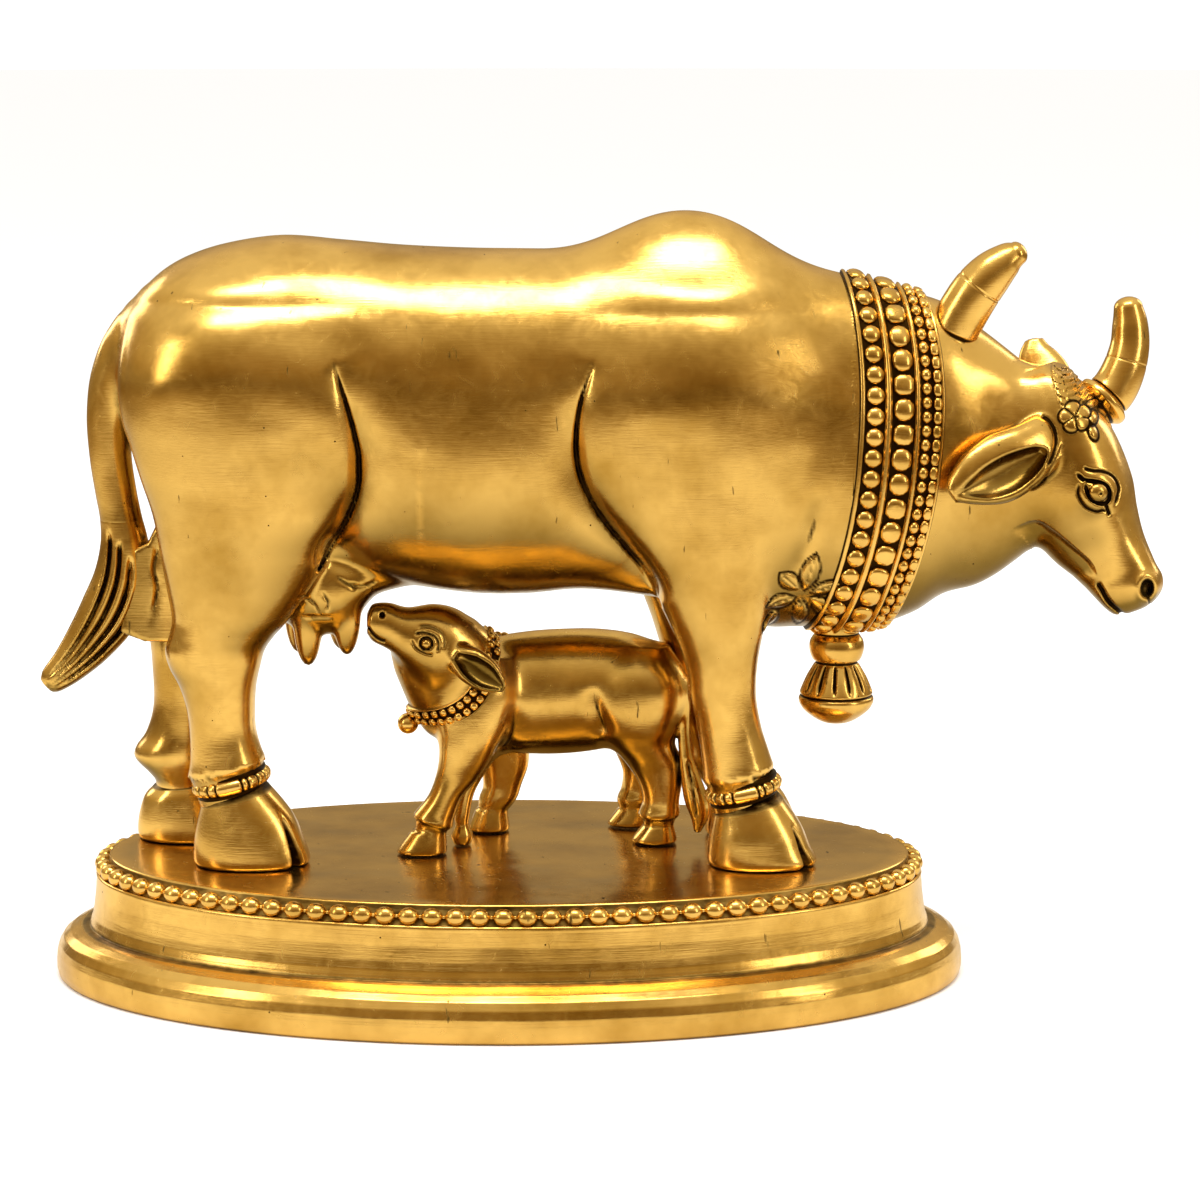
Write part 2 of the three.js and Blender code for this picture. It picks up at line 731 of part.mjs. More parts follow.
function tail() {
  let body = limb(TAIL, 12, 8);
  for (const [share, start] of TUFT_GROOVES) {
    const line = TAIL.slice(start, TAIL.length - 1).map(([x, , z, tall, wide], at, all) => {
      const along = at / (all.length - 1);
      const turn = TUFT_TURN[0] + (TUFT_TURN[1] - TUFT_TURN[0]) * along;
      return [
        x - share * tall * Math.cos(turn),
        -wide,
        z - share * tall * Math.sin(turn),
        GROOVE_HALF_WIDTH * (1 - 0.5 * along),
        GROOVE_DEPTH * (1 - 0.4 * along),
      ];
    });
    body = body.subtract(limb(line, 2, 4));
  }
  return carved(body);
}

// The thin web of metal left between the tuft and the hind legs: [x, z] of its outline
const WEB_OUTLINE = [
  [-101, 84], [-97, 86], [-95, 90], [-88, 90], [-86, 56], [-91, 54], [-98, 60], [-105, 64],
];
const WEB_WIDTH = 7;
const WEB_FAR_Y = 1;

function web() {
  const outline = new THREE.Shape(WEB_OUTLINE.map(([x, z]) => new THREE.Vector2(x, z)));
  const geometry = new THREE.ExtrudeGeometry(outline, { depth: WEB_WIDTH, bevelEnabled: false });
  geometry.rotateX(Math.PI / 2);
  geometry.translate(0, WEB_FAR_Y, 0);
  return fromGeometry(geometry);
}

// Calf's body: [x, low, high, y, half width]
const CALF_TRUNK = [
  [-16, 37, 47, 6, 5],
  [-11, 31, 54, 7, 9.5],
  [-4, 26.4, 57.4, 8.4, 12],
  [5, 24.8, 58.8, 9.8, 13],
  [15, 24.4, 59.2, 11.5, 13.4],
  [25, 25.4, 59, 12.4, 13.4],
  [34, 28, 57.8, 11.2, 12.6],
  [41, 31, 54.6, 8.8, 10.6],
  [45.6, 35, 50.6, 6.8, 7.2],
  [48.6, 39, 46.4, 5.6, 3.4],
];
const CALF_NECK = [
  [63, -10, -19, -2.5, 5, 0],
  [58, -5.4, -25.5, -1.8, 8.4, 0],
  [52, -2.4, -28, -0.2, 9.6, 0],
  [45, 2, -27.6, 1.6, 10.6, 0],
  [38, 4, -26.2, 3.6, 11, 0],
  [32, 4, -22.8, 5.2, 9.8, 0],
  [28.5, 0, -17, 6, 6, 0],
];
const CALF_HEAD = [
  [-37.8, 61.4, 67.4, -8, 3],
  [-36.2, 59.4, 69.6, -7.8, 4.6],
  [-32, 57, 69.8, -7.2, 5.4],
  [-27, 52.6, 68.4, -6.2, 6.9],
  [-20, 47.6, 69, -4.8, 8.5],
  [-14, 49, 67.4, -3.4, 8.4],
  [-8, 52, 63, -1.6, 6.4],
  [-4.6, 54, 59.8, -0.8, 3.6],
];
const CALF_NEAR_FRONT = [
  [53, -10, 0, 1.4, 5, 0],
  [46, -15.5, 0, -1.6, 6.8, 0],
  [39, -18, -0.6, -3.2, 7.2, 0],
  [32, -18.8, -2, -4, 6.8, 0],
  [26, -19, -4.8, -4.4, 6.1, 0],
  [21, -20, -8, -4.6, 5.4, 0],
  [16, -22, -12.4, -4.8, 4.9, 0],
  [11, -25, -15.2, -5, 4.9, -0.15],
  [8, -25.2, -16, -5, 4.9, -0.3],
  [5, -26, -17.6, -5, 4.1, 0],
];
const CALF_FAR_FRONT = [
  [50, -9, 0, 16, 4.5, 0],
  [42, -13, 2, 18.5, 6.4, 0],
  [34, -13.5, 4, 20.4, 6.8, 0],
  [26, -11.5, 5, 21.4, 6.2, 0],
  [19, -8.6, 5, 21.8, 5.4, 0],
  [13, -7.8, 3, 22, 4.9, 0],
  [9, -9, 1.6, 22, 4.9, 0],
  [5, -9.2, -1.4, 22, 4.1, 0],
];
const CALF_PROP_FOOT = [
  [31, -7, 1, 6.5, 4.2, 0],
  [23, -11, -4.6, 6, 3.2, 0],
  [15, -14, -9.4, 5.6, 2.6, 0],
  [8, -15.2, -11, 5.2, 2.4, 0],
  [5.5, -15, -11.2, 5.2, 2.2, 0],
  [2.5, -16.2, -10.1, 5.2, 3, 0],
  [0, -15.4, -10.8, 5.2, 2.6, 0],
];
const CALF_NEAR_HIND = [
  [51, 35, 43, 12, 4.5, 0],
  [46, 29, 46.2, 10.4, 7, 0],
  [40, 26, 47.6, 9.2, 8, 0],
  [33, 25.4, 46.4, 8.6, 7.9, 0],
  [28, 27.6, 45.6, 8.2, 7, 0],
  [22.5, 32.4, 48, 7.9, 5.9, 0],
  [17, 36, 47.6, 7.7, 5.2, 0],
  [12, 37.1, 46.6, 7.6, 4.9, 0],
  [7, 36.5, 46.4, 7.6, 5, 0],
  [4, 37.4, 45, 7.6, 4.1, 0],
];
const CALF_FAR_HIND = [
  [50, 38, 31, 16, 4.5, 0],
  [43, 41, 27.6, 19.4, 6.4, 0],
  [36, 42, 26, 22.4, 6.8, 0],
  [28, 42.4, 26.6, 25, 6.2, 0],
  [22, 42.8, 29, 26.8, 5.6, 0],
  [16, 42.6, 31.3, 27.6, 5.2, 0],
  [11, 41.6, 31, 28, 4.9, 0],
  [7.5, 41.4, 29.8, 28, 5, 0],
  [4, 40, 31, 28, 4.1, 0],
];

const CALF_HOOVES = [
  [[6.4, -26.6, -17.2, -5, 4.6, 0], [1, -30.4, -16.9, -5, 5.3, 0], [0, -29.8, -17.4, -5, 5, 0]],
  [[6.2, -9.8, -1, 22, 4.6, 0], [1, -11.9, -0.4, 22, 5.2, 0], [0, -11.3, -0.9, 22, 4.9, 0]],
  [[4.8, 36.8, 45.4, 7.6, 4.6, 0], [1, 33.9, 46.3, 7.6, 5.2, 0], [0, 34.5, 45.8, 7.6, 4.9, 0]],
  [[5.4, 30.6, 40.4, 28, 4.6, 0], [1, 27.3, 40.8, 28, 5.2, 0], [0, 27.9, 40.3, 28, 4.9, 0]],
];
const CALF_TAIL = [
  [41, 12, 50, 3, 3],
  [45.4, 8, 47.6, 2.6, 2.8],
  [47.6, 4.4, 41, 2, 2.2],
  [48, 3, 31, 1.7, 2],
  [48.8, 2.6, 24, 2, 2.2],
  [51, 2.4, 15, 3.2, 2.8],
  [52.4, 2.2, 9.4, 2.8, 2.4],
  [51.8, 2, 4, 0.9, 1],
];
const CALF_EYE = point(-22, -12, 59.6);
const CALF_EYE_RADIUS = 2;
const CALF_EAR = [
  [-15.5, -9, 56.6, 2, 1.6],
  [-12.5, -11.4, 55.2, 3.6, 1.9],
  [-8.4, -12.8, 52.4, 4.4, 2],
  [-4.4, -13.6, 49.8, 3, 1.6],
  [-1.8, -14, 48.4, 0.7, 0.7],
];
const CALF_FAR_EAR = [
  [-15.5, 3.5, 57, 2, 1.6],
  [-13.4, 7, 57, 3.4, 1.9],
  [-10.8, 10.5, 56.4, 4, 2],
  [-8.4, 13, 55.4, 2.8, 1.6],
  [-7, 14.6, 54.6, 0.7, 0.7],
];

// The calf's collar: a beaded hoop that slopes from the nape down to the throat
const CALF_COLLAR_NAPE = point(-3.2, 2, 58.4);
const CALF_COLLAR_THROAT = point(-24.4, 2, 36.6);
const CALF_COLLAR_HALF_WIDTH = 11.2;
const CALF_COLLAR_SECTION = [[-2.6, -0.6], [0, 1.2], [2.6, -0.6]];
const KNOB_RADIUS = 2.7;
const KNOB_TURN = 0.25;

function calfCollar() {
  const centre = CALF_COLLAR_NAPE.clone().add(CALF_COLLAR_THROAT).multiplyScalar(0.5);
  const down = CALF_COLLAR_THROAT.clone().sub(centre);
  const halfLength = down.length();
  down.normalize();
  const near = point(0, -1, 0);
  const axis = point(0, 0, 0).crossVectors(near, down);
  const rings = [];
  const around = 10;
  const place = (turn, offset, height) => centre.clone()
    .addScaledVector(down, Math.cos(turn) * (halfLength + height))
    .addScaledVector(near, Math.sin(turn) * (CALF_COLLAR_HALF_WIDTH + height))
    .addScaledVector(axis, offset);
  for (let step = 0; step < around; step += 1) {
    const turn = (2 * Math.PI * step) / around;
    rings.push(CALF_COLLAR_SECTION.map(([offset, height]) => place(turn, offset, height)));
  }
  const parts = [skin(rings, true)];
  const knob = place(KNOB_TURN, -1, KNOB_RADIUS - 0.5);
  parts.push(egg([knob.x, knob.y, knob.z], [KNOB_RADIUS, KNOB_RADIUS, KNOB_RADIUS], 0, 5, 4));
  return joined(parts);
}

function calf() {
  const parts = [lengthwise(CALF_TRUNK, 8, 10)];
  parts.push(downwards(CALF_NECK, 5, 8));
  parts.push(lengthwise(CALF_HEAD, 6, 8));
  parts.push(downwards(CALF_NEAR_FRONT, 6, 6));
  parts.push(downwards(CALF_FAR_FRONT, 5, 6));
  parts.push(downwards(CALF_PROP_FOOT, 5, 5));
  parts.push(downwards(CALF_NEAR_HIND, 6, 6));
  parts.push(downwards(CALF_FAR_HIND, 6, 6));
  CALF_HOOVES.forEach((stations) => parts.push(downwards(stations, 2, 6)));
  parts.push(limb(CALF_TAIL, 6, 5));
  parts.push(ear(CALF_EAR, 1.9));
  parts.push(limb(CALF_FAR_EAR, 4, 5));
  parts.push(calfCollar());
  parts.push(bead(CALF_EYE, CALF_EYE_RADIUS, point(0, -1, 0), point(1, 0, 0)));
  return joined(parts);
}

const figures = new THREE.Group();
figures.position.z = PLINTH_HEIGHT + SEAT_GAP;
const cowSolid = cow();
const cowBox = cowSolid.boundingBox();
figures.scale.setScalar(COW_LENGTH / (cowBox.max[0] - cowBox.min[0]));
figures.add(piece('cow', cowSolid));
figures.add(piece('calf', calf()));

const statue = new THREE.Group();
statue.add(piece('base', plinth()));
statue.add(figures);

export default statue;
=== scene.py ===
import math

import bpy
import numpy as np
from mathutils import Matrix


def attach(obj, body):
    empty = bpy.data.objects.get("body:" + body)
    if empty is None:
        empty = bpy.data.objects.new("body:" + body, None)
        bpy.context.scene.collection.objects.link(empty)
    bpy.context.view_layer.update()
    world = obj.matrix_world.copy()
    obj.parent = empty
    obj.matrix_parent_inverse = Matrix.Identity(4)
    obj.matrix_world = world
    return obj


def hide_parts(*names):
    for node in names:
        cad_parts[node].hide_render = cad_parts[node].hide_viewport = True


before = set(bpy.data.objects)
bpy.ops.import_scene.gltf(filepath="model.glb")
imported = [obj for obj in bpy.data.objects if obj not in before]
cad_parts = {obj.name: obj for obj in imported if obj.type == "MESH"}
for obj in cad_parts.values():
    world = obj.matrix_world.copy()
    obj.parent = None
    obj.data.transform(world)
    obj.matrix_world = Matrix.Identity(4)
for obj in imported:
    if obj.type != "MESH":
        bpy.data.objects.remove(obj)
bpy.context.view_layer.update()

# Studio: a white floor that runs out of sight, with softboxes over it for the brass to mirror.
# The camera looks ten degrees down at the near side, from a metre away.
MM = 0.001


def linear(code):
    """The linear colour of an sRGB hex value: the standard curve, undone channel by channel."""
    parts = [int(code[at:at + 2], 16) / 255 for at in (1, 3, 5)]
    return [v / 12.92 if v <= 0.04045 else ((v + 0.055) / 1.055) ** 2.4 for v in parts] + [1.0]


def add(tree, kind, settings=None, links=None):
    """Adds one node, sets its properties and input values, and links outputs to its inputs."""
    made = tree.nodes.new(kind)
    for key, value in (settings or {}).items():
        if isinstance(key, str) and hasattr(made, key):
            setattr(made, key, value)
        else:
            made.inputs[key].default_value = value
    for key, source in (links or {}).items():
        tree.links.new(source, made.inputs[key])
    return made


def fresh_material(name):
    """An empty node material with its output node."""
    material = bpy.data.materials.new(name)
    material.use_nodes = True
    material.node_tree.nodes.clear()
    return material, material.node_tree, add(material.node_tree, "ShaderNodeOutputMaterial")


def mesh_piece(name, points, faces, material, attributes=None):
    """A smooth-shaded object at the origin from points in millimetres and lists of faces."""
    mesh = bpy.data.meshes.new(name)
    groups = [np.asarray(group, np.int32) for group in faces if len(group)]
    sizes = np.concatenate([np.full(len(group), group.shape[1], np.int32) for group in groups])
    mesh.vertices.add(len(points))
    mesh.vertices.foreach_set("co", (np.asarray(points, np.float32) * MM).ravel())
    mesh.loops.add(int(sizes.sum()))
    mesh.loops.foreach_set("vertex_index", np.concatenate([group.ravel() for group in groups]))
    mesh.polygons.add(len(sizes))
    starts = np.concatenate([[0], np.cumsum(sizes)[:-1]]).astype(np.int32)
    mesh.polygons.foreach_set("loop_start", starts)
    mesh.update(calc_edges=True)
    mesh.validate()
    mesh.polygons.foreach_set("use_smooth", np.ones(len(mesh.polygons), bool))
    for key, values in (attributes or {}).items():
        mesh.attributes.new(key, "FLOAT", "POINT").data.foreach_set(
            "value", np.asarray(values, np.float32))
    mesh.materials.append(material)
    made = bpy.data.objects.new(name, mesh)
    bpy.context.scene.collection.objects.link(made)
    return made


CAMERA_PLACE = (0.025, -0.9848, 0.2768)
CAMERA_PITCH = 80
LENS = 110.3
camera = bpy.data.objects.new("camera", bpy.data.cameras.new("camera"))
bpy.context.scene.collection.objects.link(camera)
camera.location = CAMERA_PLACE
camera.rotation_euler = (math.radians(CAMERA_PITCH), 0, 0)
camera.data.lens = LENS
camera.data.sensor_width = 36
camera.data.clip_start = 0.05
camera.data.clip_end = 50
bpy.context.scene.camera = camera
bpy.context.scene.view_settings.view_transform = "Standard"

FLOOR_RADIUS = 8000
FLOOR_SIDES = 96
FLOOR_DROP = 0.05
floor_material, tree, output = fresh_material("matt_white_sweep")
# The brass mirrors a lit table, which turns brown and dim between these distances in metres.
TABLE_EDGE = (0.34, 0.9)
distance = add(tree, "ShaderNodeVectorMath", {"operation": "LENGTH"},
               {0: add(tree, "ShaderNodeTexCoord").outputs["Object"]})
beyond = add(tree, "ShaderNodeMapRange", {"From Min": TABLE_EDGE[0], "From Max": TABLE_EDGE[1],
                                          "interpolation_type": "SMOOTHSTEP"},
             {"Value": distance.outputs["Value"]})
table = add(tree, "ShaderNodeMix", {"data_type": "RGBA", 6: linear("#DDD8CC"), 7: linear("#8A754F")},
            {0: beyond.outputs["Result"]})
mirrored = add(tree, "ShaderNodeLightPath").outputs["Is Glossy Ray"]
pale = add(tree, "ShaderNodeMix", {"data_type": "RGBA", 6: linear("#FCFCFC")},
           {0: mirrored, 7: table.outputs[2]})
sweep = add(tree, "ShaderNodeBsdfDiffuse", links={"Color": pale.outputs[2]})
tree.links.new(sweep.outputs["BSDF"], output.inputs["Surface"])
turn = np.linspace(0, 2 * math.pi, FLOOR_SIDES, endpoint=False)
rim = np.stack([FLOOR_RADIUS * np.cos(turn), FLOOR_RADIUS * np.sin(turn), 0 * turn - FLOOR_DROP], 1)
floor = mesh_piece("floor", rim, [np.arange(FLOOR_SIDES)[None, :]], floor_material)

# Softboxes: name, place, point aimed at, width, height (m) and brightness
SOFTBOXES = [
    ("overhead", (0.0, -0.28, 0.98), (0.02, 0.0, 0.1), 0.72, 0.26, 9.5),
    ("left_front", (-0.95, -0.62, 0.6), (-0.02, 0.0, 0.12), 0.22, 0.62, 5.0),
    ("right_front", (1.0, -0.62, 0.5), (0.06, 0.0, 0.12), 0.2, 0.62, 5.0),
    ("back_left", (-0.75, 0.75, 0.5), (0.0, 0.0, 0.12), 0.34, 0.5, 3.0),
    ("back_right", (0.85, 0.7, 0.55), (0.0, 0.0, 0.12), 0.34, 0.5, 3.0),
]
SOFTBOX_COLOUR = (1.0, 0.985, 0.955)
for name, place, aim, width, height, brightness in SOFTBOXES:
    box = bpy.data.lights.new(name, "AREA")
    box.shape = "RECTANGLE"
    box.size, box.size_y = width, height
    box.energy = brightness * math.pi * width * height
    box.color = SOFTBOX_COLOUR
    light = bpy.data.objects.new(name, box)
    bpy.context.scene.collection.objects.link(light)
    back = np.array(place) - np.array(aim)
    back /= np.linalg.norm(back)
    light.location = place
    light.rotation_mode = "XYZ"
    light.rotation_euler = (math.acos(back[2]), 0, math.atan2(back[0], -back[1]))

# The room: white where the camera and the matt floor see it. What the brass mirrors is brown and
# dim level with it, darkest straight in front where the photographer stands, and pale higher up.
ROOM_COLOURS = [(0.0, "#8C7D60"), (0.1, "#998968"), (0.28, "#B39E74"), (0.5, "#CDC0A4"), (0.85, "#E2DBCB")]
FRONT_SHADE = "#B8A584"
ROOM_STRENGTH = 1.12
world = bpy.data.worlds.new("studio")
bpy.context.scene.world = world
world.use_nodes = True
tree = world.node_tree
tree.nodes.clear()
heading = add(tree, "ShaderNodeTexCoord").outputs["Generated"]
height = add(tree, "ShaderNodeSeparateXYZ", links={0: heading})
room = add(tree, "ShaderNodeValToRGB", links={"Fac": height.outputs["Z"]})
while len(room.color_ramp.elements) < len(ROOM_COLOURS):
    room.color_ramp.elements.new(0.5)
for stop, (place, code) in zip(room.color_ramp.elements, ROOM_COLOURS):
    stop.position, stop.color = place, linear(code)
ahead = add(tree, "ShaderNodeMapRange", {"From Min": -0.5, "From Max": -0.97, "To Max": 0.8,
                                         "interpolation_type": "SMOOTHSTEP"}, {"Value": height.outputs["Y"]})
shaded = add(tree, "ShaderNodeMix", {"data_type": "RGBA", "blend_type": "MULTIPLY", 7: linear(FRONT_SHADE)},
             {0: ahead.outputs["Result"], 6: room.outputs["Color"]})
rays = add(tree, "ShaderNodeLightPath")
matt = add(tree, "ShaderNodeMath", {"operation": "MAXIMUM"},
           {0: rays.outputs["Is Camera Ray"], 1: rays.outputs["Is Diffuse Ray"]})
seen = add(tree, "ShaderNodeMix", {"data_type": "RGBA", 7: linear("#FFFFFF")},
           {0: matt.outputs["Value"], 6: shaded.outputs[2]})
lit = add(tree, "ShaderNodeBackground", {"Strength": ROOM_STRENGTH}, {"Color": seen.outputs[2]})
add(tree, "ShaderNodeOutputWorld", links={"Surface": lit.outputs["Background"]})

# Plinth: two oval tiers in one brass casting, turned edges filed round and brushed lengthwise.
# A row of round beads lies in the bevel between two fine rims, with wax left dark between them.
SEAT_GAP = 0.3
PLINTH_HEIGHT = 33.5
PLINTH_HALF_LENGTH = 124.7
PLINTH_HALF_WIDTH = 75.5
# The profile from the edge of the underside to the top face: [inset from the widest oval, height]
PLINTH_PROFILE = [
    [1.2, 0], [0.4, 0.8], [0, 2.6], [0, 4.6], [0.2, 6.8], [0.8, 9], [2, 11], [3.9, 12.5], [6, 13.4],
    [7.8, 13.9], [8.7, 14.1], [9.0, 13.9], [9.3, 14.3], [9.5, 15.2], [10.1, 16.8], [10.5, 19],
    [11.0, 23], [11.3, 27.2], [11.2, 28.0], [11.5, 28.5], [12.0, 28.6], [12.3, 28.4],
    [14.9, 32.2], [15.0, 33.0], [15.3, 33.45], [15.9, 33.5],
]
PLINTH_COLUMNS = 360
TOP_ROWS = 24
# How far the plinth's top face is browned: painted shade and dim reflection under the figures
TOP_PAINTED_SHADE = 0.32
# Where wax stays: [middle, reach to each side, amount], by the inset and by the height
BEVEL_WAX = (13.6, 1.6, 0.72)
GROOVE_WAX = (14.0, 0.35, 0.7)


def loop_faces(rows, columns):
    """Quads of a grid whose rows are closed loops, each row joined to the next one."""
    row, column = np.mgrid[0:rows - 1, 0:columns]
    after = (column + 1) % columns
    return np.stack([row * columns + column, row * columns + after,
                     (row + 1) * columns + after, (row + 1) * columns + column], -1).reshape(-1, 4)


def closed_loops(rings, flip=False):
    """Points and faces of a body from rings of points, each end closed by a fan to its middle."""
    rows, columns, _ = rings.shape
    points = np.concatenate([rings.reshape(-1, 3), rings[0].mean(0)[None], rings[-1].mean(0)[None]])
    side = np.arange(columns)
    after = (side + 1) % columns
    start = np.stack([np.full(columns, rows * columns), after, side], 1)
    last = (rows - 1) * columns
    end = np.stack([np.full(columns, rows * columns + 1), last + side, last + after], 1)
    groups = [loop_faces(rows, columns), start, end]
    return points, [group[:, ::-1] for group in groups] if flip else groups


def held(profile, reach):
    """The profile with a point added this near each end of its long lines, to keep them straight."""
    profile = np.array(profile, float)
    kept = [profile[0]]
    for before, after in zip(profile[:-1], profile[1:]):
        length = np.linalg.norm(after - before)
        if length > 4 * reach:
            kept += [before + (after - before) * reach / length, after - (after - before) * reach / length]
        kept.append(after)
    return np.array(kept)


def surface_noise(tree, place, stretch, size, detail, roughness):
    """Noise from 0 to 1 with grains of a size in mm, drawn out along x, y and z by one over each
    of the three numbers given."""
    shaped = add(tree, "ShaderNodeMapping", {"Scale": stretch}, {"Vector": place})
    return add(tree, "ShaderNodeTexNoise",
               {"Scale": 1000 / size, "Detail": detail, "Roughness": roughness},
               {"Vector": shaped.outputs["Vector"]}).outputs["Fac"]


# Colours of the metal: clean, clouded with tarnish, brown for painted shade and a slight tone, and dark for
# wax and painted shade
CLEAN, TARNISHED, BROWN_TONE_AND_SHADE, DARK_WAX_AND_SHADE = "#F2C469", "#B98B36", "#574312", "#2A1905"


def cast_brass(name, brushing):
    """Cast brass, filed, brushed and buffed by hand, then waxed: a warm gold metal with fine
    scratches along the brushing, curled ones from buffing, cloudy tarnish, a few pits, dark brown
    wax and painted shade where the piece's wax_and_shade number is high, and browner metal where
    its tone_and_shade number is: painted shade, over a slight tone on the calf."""
    material, tree, output = fresh_material(name)
    place = add(tree, "ShaderNodeTexCoord").outputs["Object"]
    # Real scratches are about 0.05 mm wide. They are drawn near 0.5 mm so that they show.
    lines = surface_noise(tree, place, brushing, 0.5, 3.0, 0.6)
    curl = add(tree, "ShaderNodeTexNoise", {"Scale": 1000 / 5.0, "Detail": 4.0, "Roughness": 0.55,
                                            "Distortion": 1.4}, {"Vector": place}).outputs["Fac"]
    clouds = surface_noise(tree, place, (1, 1, 1), 26, 4.0, 0.58)
    grain = surface_noise(tree, place, (0.5, 0.5, 1), 2.4, 4.0, 0.6)
    hammered = surface_noise(tree, place, (0.8, 1, 1), 19, 1.0, 0.4)
    # Pits lie about 6 mm apart, and four tenths of them hold wax.
    pits = add(tree, "ShaderNodeTexVoronoi", {"Scale": 1000 / 6.0}, {"Vector": place})
    pit = add(tree, "ShaderNodeMapRange", {"From Min": 0.05, "From Max": 0.03},
              {"Value": pits.outputs["Distance"]})
    some = add(tree, "ShaderNodeSeparateColor", links={"Color": pits.outputs["Color"]})
    chosen = add(tree, "ShaderNodeMath", {"operation": "GREATER_THAN", 1: 0.6},
                 {0: some.outputs["Red"]})
    dots = add(tree, "ShaderNodeMath", {"operation": "MULTIPLY"},
               {0: pit.outputs["Result"], 1: chosen.outputs["Value"]})
    # The number read here holds real wax in recesses, and also painted shade at the hooves and anklets.
    wax_and_shade = add(tree, "ShaderNodeAttribute", {"attribute_name": "wax_and_shade"})
    rough_wax_and_shade = add(tree, "ShaderNodeMath", {"operation": "MULTIPLY_ADD", 1: 0.5},
                    {0: grain, 2: wax_and_shade.outputs["Fac"]})
    dark = add(tree, "ShaderNodeMapRange", {"From Min": 0.5, "From Max": 1.1},
               {"Value": rough_wax_and_shade.outputs["Value"]})
    # Scratches that hold wax: the peaks of a noise drawn out five times along its grain.
    nicks = add(tree, "ShaderNodeMapRange", {"From Min": 0.71, "From Max": 0.76, "To Max": 0.8},
                {"Value": surface_noise(tree, place, (1, 0.8, 0.2), 2.6, 3.0, 0.55)})
    marks = add(tree, "ShaderNodeMath", {"operation": "MAXIMUM"},
                {0: nicks.outputs["Result"], 1: dots.outputs["Value"]})
    wax_shade_and_marks = add(tree, "ShaderNodeMath", {"operation": "MAXIMUM"},
               {0: dark.outputs["Result"], 1: marks.outputs["Value"]})
    patch = add(tree, "ShaderNodeMapRange", {"From Min": 0.42, "From Max": 0.7, "To Max": 0.8},
                {"Value": clouds})
    tone_and_shade = add(tree, "ShaderNodeAttribute", {"attribute_name": "tone_and_shade"})
    warm = add(tree, "ShaderNodeMix", {"data_type": "RGBA", 6: linear(CLEAN), 7: linear(TARNISHED)},
               {0: patch.outputs["Result"]})
    toned_and_shaded = add(tree, "ShaderNodeMix", {"data_type": "RGBA", 7: linear(BROWN_TONE_AND_SHADE)},
                  {0: tone_and_shade.outputs["Fac"], 6: warm.outputs[2]})
    colour = add(tree, "ShaderNodeMix", {"data_type": "RGBA", 7: linear(DARK_WAX_AND_SHADE)},
                 {0: wax_shade_and_marks.outputs["Value"], 6: toned_and_shaded.outputs[2]})
    shine = add(tree, "ShaderNodeMapRange",
                {"From Min": 0.35, "From Max": 0.7, "To Min": 0.18, "To Max": 0.28}, {"Value": curl})
    rougher_where_dark = add(tree, "ShaderNodeMath", {"operation": "MULTIPLY_ADD", 1: 0.25},
                {0: wax_shade_and_marks.outputs["Value"], 2: shine.outputs["Result"]})
    relief = add(tree, "ShaderNodeMath", {"operation": "MULTIPLY_ADD", 1: 0.8}, {0: curl, 2: lines})
    waves = add(tree, "ShaderNodeBump", {"Strength": 1.0, "Distance": 0.0009}, {"Height": hammered})
    bump = add(tree, "ShaderNodeBump", {"Strength": 0.4, "Distance": 0.00006},
               {"Height": relief.outputs["Value"], "Normal": waves.outputs["Normal"]})
    shader = add(tree, "ShaderNodeBsdfPrincipled", {"Metallic": 1.0}, {
        "Base Color": colour.outputs[2], "Roughness": rougher_where_dark.outputs["Value"],
        "Normal": bump.outputs["Normal"]})
    tree.links.new(shader.outputs["BSDF"], output.inputs["Surface"])
    return material


plinth_brass = cast_brass("brushed_brass_plinth", (0.03, 0.12, 1.0))
profile = held(PLINTH_PROFILE, 0.35)
turn = np.linspace(0, 2 * math.pi, PLINTH_COLUMNS, endpoint=False)
top_share = np.linspace(1, 0.02, TOP_ROWS)[1:, None, None]


def oval(inset, height):
    """Rings of an oval: half sizes less the inset, times cosine and sine of the turn."""
    inset, height = np.asarray(inset)[:, None], np.asarray(height)[:, None]
    return np.stack([(PLINTH_HALF_LENGTH - inset) * np.cos(turn),
                     (PLINTH_HALF_WIDTH - inset) * np.sin(turn), height + 0 * turn], -1)


walls = oval(profile[:, 0], profile[:, 1])
inward = walls[-1:] * np.concatenate([top_share, top_share, 0 * top_share + 1], 2)
under = walls[:1] * np.array([0.02, 0.02, 1])
points, faces = closed_loops(np.concatenate([under, walls, inward]))
wax_and_shade = np.zeros(len(profile))
for column, (level, reach, amount) in ((1, GROOVE_WAX), (0, BEVEL_WAX)):
    wax_and_shade[np.abs(profile[:, column] - level) < reach] = amount
wax_and_shade = np.repeat(np.concatenate([[0], wax_and_shade, np.zeros(TOP_ROWS - 1)]), PLINTH_COLUMNS)
tone_and_shade = np.repeat(np.append(np.zeros(len(profile) + 1), np.full(TOP_ROWS - 1, TOP_PAINTED_SHADE)), PLINTH_COLUMNS)
plinth = mesh_piece("plinth", points, faces, plinth_brass,
                    {"wax_and_shade": np.append(wax_and_shade, [0, 0]), "tone_and_shade": np.append(tone_and_shade, [0, TOP_PAINTED_SHADE])})
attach(plinth, "root")
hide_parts("base")

# Beads of the plinth: ninety round drops cast with it, joined by tiny links along the bevel.
# They were rubbed bright on top, so that only their feet are dark.
BEAD_COUNT = 90
BEAD_HALVES = (2.85, 2.4, 2.2)
LINK_RADIUS = 0.6
BEVEL_MIDDLE = (13.35, 30.5)
BEAD_SEAT = 0.25
BEVEL_SLOPE = (0.82, 0.57)
OVAL_STEPS = 2000


def unit(vectors):
    """The vectors, each divided by its length."""
    return vectors / np.linalg.norm(vectors, axis=1, keepdims=True)


